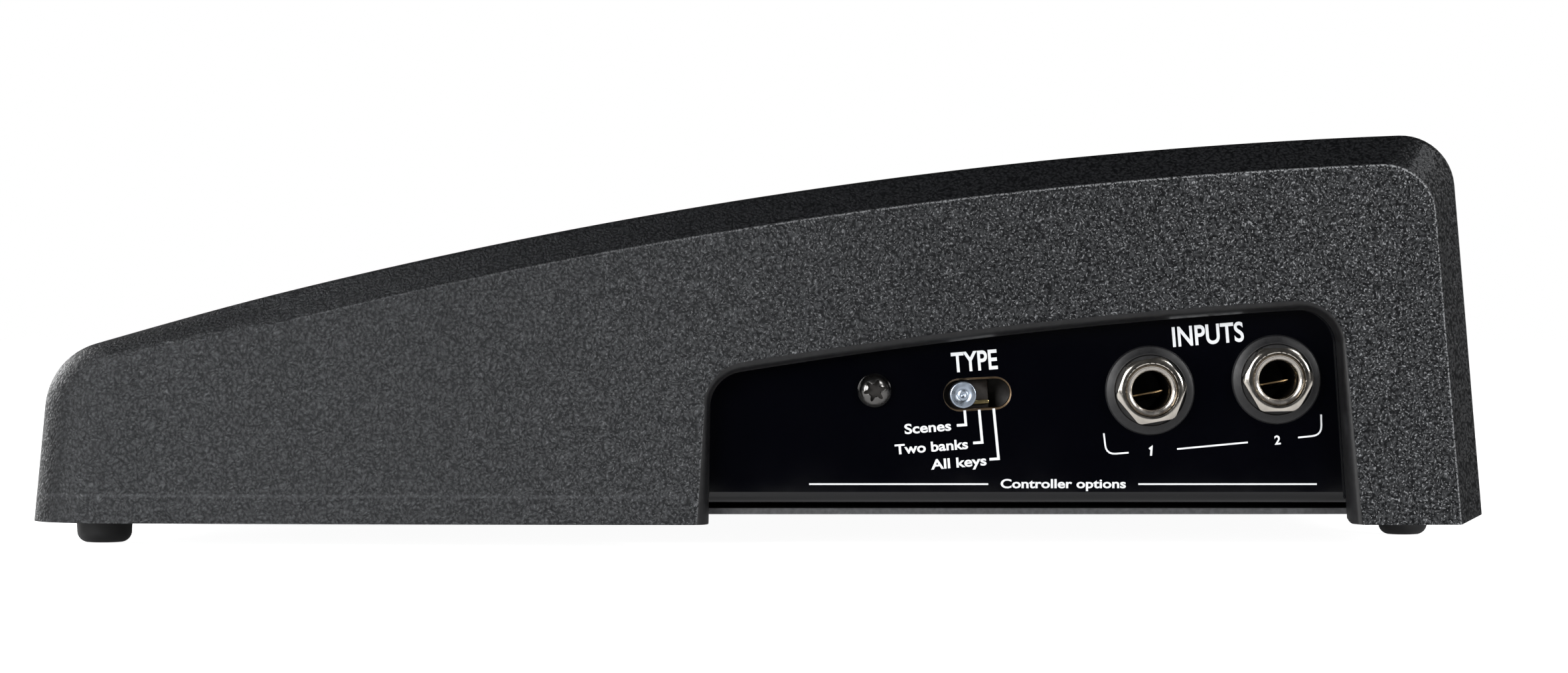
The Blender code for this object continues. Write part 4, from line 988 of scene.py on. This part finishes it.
def jack_washer_mesh():
    """A black dished washer with a raised outer band."""
    outer, inner = 0.0074, JACK_BUSHING + FIT_GAP
    return turned([(inner, 0.00085), (0.00575, 0.00085), *arc2((0.00600, 0.00112), 0.00014, 180, 50, 5),
                   (0.00695, 0.00060), *arc2((0.00700, 0.00030), 0.00030, 65, 5, 6), (outer, 0.00018),
                   (outer, 0.00004), (inner, 0.00004)], closed=True, steps=96)


def thread_profile(radius, top, bottom, pitch, depth):
    points = []
    z = top
    while z > bottom:
        points.append((radius - depth, z))
        points.append((radius, z - pitch / 2))
        z -= pitch
    return points


def bushing_mesh(bore, radius, top, bottom, pitch=0.0005):
    """A threaded tube with a countersunk mouth."""
    profile = [(bore, top - 0.00025), (bore + 0.00025, top), (radius - 0.00030, top),
               *thread_profile(radius, top - 0.00025, bottom + pitch, pitch, 0.00018),
               (radius - 0.0001, bottom),
               (bore, bottom)]
    return turned(profile, closed=True, steps=72)


def build_jacks():
    nut = domed_nut(0.0104, JACK_BUSHING + 0.0001, 0.0009, 0.0042, 0.00468, 0.0015)
    washer = jack_washer_mesh()
    depth = 0.0215
    jacks = []
    for index in (1, 2):
        name = f"control_jack_{index}"
        jacks.append((name, on_panel(name + "_washer"), PANEL_THICK, -11.0 - 9.0 * index))
    jacks.append(("link_jack", rear_matrix(centre_of("link_jack_washer").x, SOCKET_HEIGHT), CHASSIS_THICK, 0.0))
    for name, matrix, thick, turn in jacks:
        seat = -(thick + FIT_GAP)
        piece(name + "_washer_ring", washer.copy(), "washer", matrix=matrix, replaces=[name + "_washer"])
        piece(name + "_nut_dome", nut.copy(), "nickel", matrix=spun(matrix, turn), replaces=[name + "_nut"],
              smooth=40.0)
        piece(name + "_bushing", bushing_mesh(JACK_BORE, JACK_BUSHING, 0.0040, seat - 0.0005), "turned",
              matrix=matrix, smooth=50.0)
        block = cut(box((0.0150, 0.0150, depth), (0, 0, seat - 0.0006 - depth / 2)),
                    rod(JACK_BORE + 0.0004, seat - depth + 0.001, 0.01))
        piece(name + "_block", bevelled(block, 0.0004, 2, 50.0), "cavity", matrix=matrix,
              replaces=[name + "_body"])
        tilt = spun(Matrix.Translation((0.0, -0.00115, seat - 0.0075)), 11) @ \
            Matrix.Rotation(math.radians(-7), 4, "X")
        leaf = moved(box((0.0052, 0.00028, 0.0100)), tilt)
        piece(name + "_contact", bevelled(leaf, 0.00008), "brass", matrix=matrix)


def star_outline(outer, inner, lobes=6, steps=10):
    """(y, z) outline of a six-lobe socket: the radius swings smoothly between its two limits."""
    count = lobes * steps
    points = []
    for i in range(count):
        angle = 2 * math.pi * i / count
        radius = inner + (outer - inner) * (0.5 + 0.5 * math.cos(lobes * angle)) ** 1.4
        points.append((radius * math.cos(angle), radius * math.sin(angle)))
    return points


def build_panel_screw():
    head = turned([(0.0, 0.00205), (0.0009, 0.0020), *arc2((0.0007, 0.0003), 0.0021, 78, 8, 10),
                   (0.0028, 0.00045), (0.0028, FIT_GAP), (0.0014, FIT_GAP), (0.0014, -0.0070),
                   (0.0, -0.0070)], steps=72)
    upright = Matrix(((0, 1, 0, 0), (0, 0, 1, 0), (1, 0, 0, 0), (0, 0, 0, 1)))
    socket = moved(prism(star_outline(0.00190, 0.00098), 0.0007, 0.0030), upright)
    matrix = spun(on_panel("panel_screw"), 13)
    piece("panel_screw_head", bevelled(cut(head, socket), 0.00011, 2, 35.0), "screw", matrix=matrix,
          replaces=["panel_screw"], smooth=35.0)
    # A dark disc at the floor of the six-lobe socket: painted shade in the recess.
    piece("panel_screw_socket_shade", rod(0.0019, 0.0005, 0.0009, 32), "cavity", matrix=matrix)


def mode_pin_mesh(top, stem_end):
    """The pin, whose end face has a dimple and a groove."""
    r = MODE_PIN_RADIUS
    rings = ((0.0, 0.00030), (0.00022, 0.00012), (0.00040, 0.00002), (0.00070, 0.00003), (0.00082, 0.00010),
             (0.00096, 0.00010), (0.00108, 0.00002), (0.00150, 0.0), (r - 0.00022, 0.0))
    return turned([*[(radius, top - drop) for radius, drop in rings],
                   *arc2((r - 0.00022, top - 0.00022), 0.00022, 80, 10, 4), (r, top - 0.0003),
                   (r, stem_end), (0.0, stem_end)], steps=72)


def build_mode_switch():
    place = panel_matrix(MODE_SLOT, MODE_TILT)
    plate_thick = 0.0015
    low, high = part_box("switch_bracket")
    plate = box((plate_thick, high.y - low.y, high.z - low.z), (low + high) / 2)
    ledge = 0.0004
    slot = prism(slot_outline(MODE_SLOT, MODE_TILT, MODE_SLOT_SIZE[0] - ledge, MODE_SLOT_SIZE[1] - 2 * ledge),
                 PANEL_X - THROUGH, PANEL_X + THROUGH)
    bracket = cut(plate, slot, hole(0.0018, on_panel("panel_screw"), 32))
    piece("switch_bracket_plate", bevelled(bracket, 0.0002, 2, 50.0), "bracket", replaces=["switch_bracket"])

    front = -(PANEL_THICK + FIT_GAP + plate_thick + FIT_GAP)
    body = cut(box((0.020, 0.010, 0.009), (0, 0, front - 0.0045)), box((0.0145, 0.0068, 0.012), (0, 0, front)))
    piece("mode_switch_case", bevelled(body, 0.0003, 2, 50.0), "switch_case", matrix=place,
          replaces=["mode_switch_body"])

    at_rest = place @ Matrix.Translation((-MODE_STEP, 0, 0))
    piece("mode_pin", mode_pin_mesh(0.0016, front - 0.0020), "zinc", body="mode_switch_pin", matrix=at_rest,
          replaces=["mode_slider"])
    carriage = bevelled(box((0.0088, 0.0060, 0.0045), (0, 0, front - 0.00325)), 0.0003)
    piece("mode_carriage", carriage, "switch_case", body="mode_switch_pin", matrix=at_rest)
    spring = bevelled(box((0.0026, 0.0007, 0.0010), (0.0031, -0.0014, front - 0.00055)), 0.0001)
    piece("mode_spring", spring, "spring", body="mode_switch_pin", matrix=at_rest)


# ==== footswitches, lamps, display ====
def build_footswitches():
    nut = domed_nut(0.0145, 0.0061, FIT_GAP + 0.0004, 0.0025, 0.0066, 0.0009)
    washer = turned([(0.0063, 0.00062), (0.0090, 0.00062), (0.0092, 0.00045), (0.0092, 0.00004),
                     (0.0063, 0.00004)], closed=True, steps=64)
    bushing = bushing_mesh(0.0045, 0.0060, 0.0036, -0.0040, 0.00075)
    can = bevelled(turned([(0.0, -0.0088), (0.0045, -0.0088), (0.0045, -0.0042), (0.0090, -0.0042),
                           (0.0090, -0.0178), (0.0, -0.0178)], steps=48), 0.0004, 2, 50.0)
    top = 0.0105
    under = 0.0062
    cap = [(0.0, top), (0.0018, top - 0.00006), (0.0034, top - 0.00028), (0.0046, top - 0.00068),
           *arc2((0.0044, top - 0.0021), 0.0014, 68, 4, 8), (0.0058, under + 0.0003), (0.0056, under),
           (0.0042, under), (0.0042, -0.0060), (0.0, -0.0060)]
    cap_mesh = turned(cap, steps=72)
    bezel = turned([(0.0026, 0.0010), (0.0030, 0.0012), (0.0036, 0.0010), (0.0041, 0.0005), (0.0042, 0.00002),
                    (0.0026, 0.00002)], closed=True, steps=48)
    lens = turned([(0.0, 0.0021), *arc2((0.0, -0.0006), 0.0027, 82, 24, 9), (0.0025, 0.0002), (0.0025, -0.0060),
                   (0.0, -0.0060)], steps=48)
    for index in range(1, SWITCH_COUNT + 1):
        x, y = switch_place(index)
        matrix = roof_matrix(x, y)
        name = f"footswitch_{index}"
        piece(name + "_nut_dome", nut.copy(), "nickel", matrix=spun(matrix, 7 * index),
              replaces=[name + "_nut"], smooth=40.0)
        piece(name + "_washer", washer.copy(), "turned", matrix=matrix)
        piece(name + "_bushing", bushing.copy(), "turned", matrix=matrix, smooth=50.0)
        piece(name + "_can", can.copy(), "black", matrix=matrix, replaces=[name + "_body"])
        piece(name + "_cap", cap_mesh.copy(), "button", body=name, matrix=matrix,
              replaces=[name + "_button"], smooth=40.0)
        lamp = roof_matrix(x, y + LED_OFFSET)
        piece(f"lamp_{index}_lens", lens.copy(), "lens", matrix=lamp, replaces=[f"lamp_{index}"], smooth=50.0)
        piece(f"lamp_{index}_bezel", bezel.copy(), "black", matrix=lamp, smooth=40.0)


def segment_outline(length, width):
    tip = width / 2
    half = length / 2
    return [(-half, 0.0), (-half + tip, tip), (half - tip, tip), (half, 0.0), (half - tip, -tip),
            (-half + tip, -tip)]


def build_display():
    place = roof_matrix(0, SWITCH_ROWS[1])
    width, depth = DISPLAY_SIZE
    face = 0.0004
    thick = 0.0022
    slab = bevelled(box((width, depth, thick), (0, 0, face - thick / 2)), 0.0003, 3)
    piece("display_glass", slab, "window", matrix=place, replaces=["display_window"])
    rim = cut(box((width + 0.006, depth + 0.006, 0.0011), (0, 0, 0.00057)),
              box((width + 0.0006, depth + 0.0006, THROUGH)))
    piece("display_rim", bevelled(rim, 0.0004, 3, 50.0), "black", matrix=place)
    module = box((0.080, 0.042, 0.007), (0, 0, face - thick - FIT_GAP - 0.0035))
    piece("display_back", bevelled(module, 0.0004), "black", matrix=place, replaces=["display_module"])
    length, stroke, pitch = 0.0088, 0.0014, 0.0200
    reach = length + 0.0005
    bars = ((0, reach, 0), (0, 0, 0), (0, -reach, 0), (-0.5, 0.5, 1), (0.5, 0.5, 1), (-0.5, -0.5, 1),
            (0.5, -0.5, 1))
    for digit in (-1, 0, 1):
        for number, (across, up, upright) in enumerate(bars, 1):
            bm = bmesh.new()
            bm.faces.new([bm.verts.new((x, y, 0)) for x, y in segment_outline(length, stroke)])
            rise = up * reach if upright else up
            shift = Matrix.Translation((digit * pitch + across * reach + 0.10 * rise, rise, face + PRINT_LIFT))
            bar = moved(thickened(bm, (0, 0, PRINT_LIFT)), spun(shift, 84 if upright else 0))
            piece(f"segment_{digit + 2}_{number}", bar, "segment", matrix=place)


# ==== rear socket, feet, screws ====
def build_data_socket():
    place = rear_matrix(centre_of("data_socket").x, SOCKET_HEIGHT)
    shell = turned([(0.0068, 0.0011), (0.0072, 0.0013), (0.0096, 0.0013), (0.0099, 0.0010), (0.0099, 0.00004),
                    (0.0078, 0.00004), (0.0078, -0.0138), (0.0068, -0.0138)], closed=True, steps=72)
    piece("data_socket_shell", shell, "turned", matrix=place, replaces=["data_socket"])
    cutters = [box((0.0022, 0.0024, 0.02), (0, -0.0058, 0))]
    for step in range(5):
        angle = math.pi * step / 4
        cutters.append(rod(0.00075, -0.0080, 0.01, 24, (0.0036 * math.cos(angle), 0.0036 * math.sin(angle))))
    core = cut(rod(0.0060, -0.0136, -0.0010, 64), *cutters)
    piece("data_socket_core", bevelled(core, 0.00015, 2, 40.0), "black", matrix=place)


def at_corners(kind):
    """The four nodes of a kind, each with its box and the place on the ground under its middle."""
    for row in ("front", "rear"):
        for side in ("right", "left"):
            node = f"{kind}_{row}_{side}"
            low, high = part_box(node)
            yield node, low, high, Matrix.Translation(((low.x + high.x) / 2, (low.y + high.y) / 2, 0))


def build_feet():
    for node, low, high, matrix in at_corners("foot"):
        radius = (high.x - low.x) / 2
        top = high.z
        profile = [(0.0, top), (radius, top), (radius * 0.995, top - 0.0015), (radius * 0.97, 0.0022),
                   *arc2((radius * 0.97 - 0.0019, 0.0019), 0.0019, 0, -90, 8), (radius * 0.30, 0.0),
                   (radius * 0.26, 0.0003), (0.0, 0.0003)]
        piece(node + "_pad", turned(profile, steps=64), "rubber", matrix=matrix, replaces=[node], smooth=40.0)


def build_base_screws():
    """Pan-headed screws. Their heads end level with the cheek's foot."""
    for node, low, high, matrix in at_corners("base_screw"):
        head = low.z + 0.0018
        sole = max(low.z, FLOOR_GAP + 0.0001)
        profile = [(0.0, high.z), (0.0014, high.z - 0.001), (0.0014, head), (0.0029, head),
                   (0.00285, head - 0.0006), *arc2((0.0011, head + 0.0001), 0.0019, -30, -80, 6), (0.0, low.z)]
        screw = turned([(radius, max(z, sole)) for radius, z in profile], steps=48)
        cross = combine(box((0.0022, 0.0005, 0.002)), "UNION", box((0.0005, 0.0022, 0.002)))
        screw = cut(screw, moved(cross, Matrix.Translation((0, 0, low.z))))
        piece(node + "_head", screw, "screw", matrix=matrix, replaces=[node], smooth=35.0)


# ==== stage, lights, camera ====
def build_floor():
    """A pale floor that glows a little, more so for the camera.

    Reflections show it dark where it lies well to the right of the object.
    """
    bm = bmesh.new()
    bmesh.ops.create_grid(bm, x_segments=1, y_segments=1, size=30.0)
    floor = new_object("floor", mesh_from(bm))
    s = Surface("floor_pale", (0.90, 0.90, 0.90), 0.85, Specular_IOR_Level=0.1,
                Emission_Color=(1.0, 1.0, 1.0, 1.0))
    path = s.node("ShaderNodeLightPath").outputs
    s.feed("Emission Strength", s.spread(path["Is Camera Ray"], 0.0, 1.0, 0.15, 0.94))
    across = s.split(s.node("ShaderNodeNewGeometry").outputs["Position"])["X"]
    share = s.times(s.spread(across, 0.36, 0.44), path["Is Glossy Ray"])
    dark = s.node("ShaderNodeBsdfDiffuse", {"Color": (0.01, 0.01, 0.01, 1.0)}).outputs[0]
    mix = s.node("ShaderNodeMixShader", {"Fac": share, 1: s.shader.outputs[0], 2: dark}).outputs[0]
    s.tree.links.new(mix, s.tree.nodes["Material Output"].inputs["Surface"])
    floor.data.materials.append(s.material)


def build_world():
    """White for the camera, a mid grey fill for soft light, and a dark room for reflections."""
    world = bpy.data.worlds.new("studio")
    bpy.context.scene.world = world
    world.use_nodes = True
    tree = world.node_tree
    path = add_node(tree, "ShaderNodeLightPath").outputs
    fill = add_node(tree, "ShaderNodeMix", {"A": 0.19, "B": 0.03, "Factor": path["Is Glossy Ray"]}).outputs[0]
    seen = add_node(tree, "ShaderNodeMix", {"A": fill, "B": 1.0, "Factor": path["Is Camera Ray"]}).outputs[0]
    background = tree.nodes["Background"]
    fill_input(tree, background.inputs["Color"], (1, 1, 1, 1))
    fill_input(tree, background.inputs["Strength"], seen)


def area_light(name, place, target, size, power):
    data = bpy.data.lights.new(name, "AREA")
    data.shape = "RECTANGLE"
    data.size, data.size_y = size
    data.energy = power
    item = bpy.data.objects.new(name, data)
    PIECES.objects.link(item)
    item.location = place
    item.rotation_euler = (Vector(target) - Vector(place)).to_track_quat("-Z", "Y").to_euler()
    return data


def build_lights():
    middle = (0.0, 0.0, 0.03)
    side = (WIDTH / 2, 0.0, 0.035)
    area_light("side_key", (2.05, -0.95, 0.50), side, (0.9, 0.8), 24.0)
    area_light("side_right", (1.45, 1.05, 0.40), side, (0.22, 0.22), 7.0)
    area_light("edge_spark", (0.95, 0.70, 0.80), (WIDTH / 2, 0.09, 0.06), (0.10, 0.10), 1.8)
    area_light("front_soft", (0.05, -1.55, 0.85), middle, (1.5, 0.9), 4.5)
    front_top = area_light("front_top", (0.25, -0.30, 0.42), (0.195, -0.095, 0.03), (0.10, 0.10), 0.024)
    front_top.spread = math.radians(26)
    area_light("back_soft", (-0.60, 1.50, 0.80), middle, (1.3, 0.8), 6.0)
    area_light("left_soft", (-1.45, -1.35, 0.50), middle, (0.9, 0.7), 16.0)
    area_light("nut_left", (0.75, -0.75, 0.18), (WIDTH / 2, 0.07, 0.03), (0.12, 0.45), 2.2)


def build_camera():
    """Square on to the right side, level, with the picture's middle a little over the middle of the side."""
    distance = 0.700
    picture_width = 2362 / 9200.0        # metres across the picture at the outer face
    data = bpy.data.cameras.new("camera")
    data.sensor_width = 36.0
    data.lens = data.sensor_width * distance / picture_width
    data.clip_start = 0.01
    data.clip_end = 100.0
    camera = bpy.data.objects.new("camera", data)
    PIECES.objects.link(camera)
    camera.location = (WIDTH / 2 + distance, 0.00515, FLOOR_GAP + 0.0309)
    camera.rotation_euler = (math.pi / 2, 0.0, math.pi / 2)
    bpy.context.scene.camera = camera


def main():
    bpy.context.scene.view_settings.view_transform = "Standard"
    for build in (build_floor, build_world, build_lights, build_camera, build_cheeks, build_chassis,
                  build_side_panel, build_base, build_panel_print, build_roof_print, build_jacks,
                  build_panel_screw, build_mode_switch, build_footswitches, build_display, build_data_socket,
                  build_feet, build_base_screws):
        build()


def corners(bounds):
    return [[float(value) for value in corner] for corner in bounds]


main()
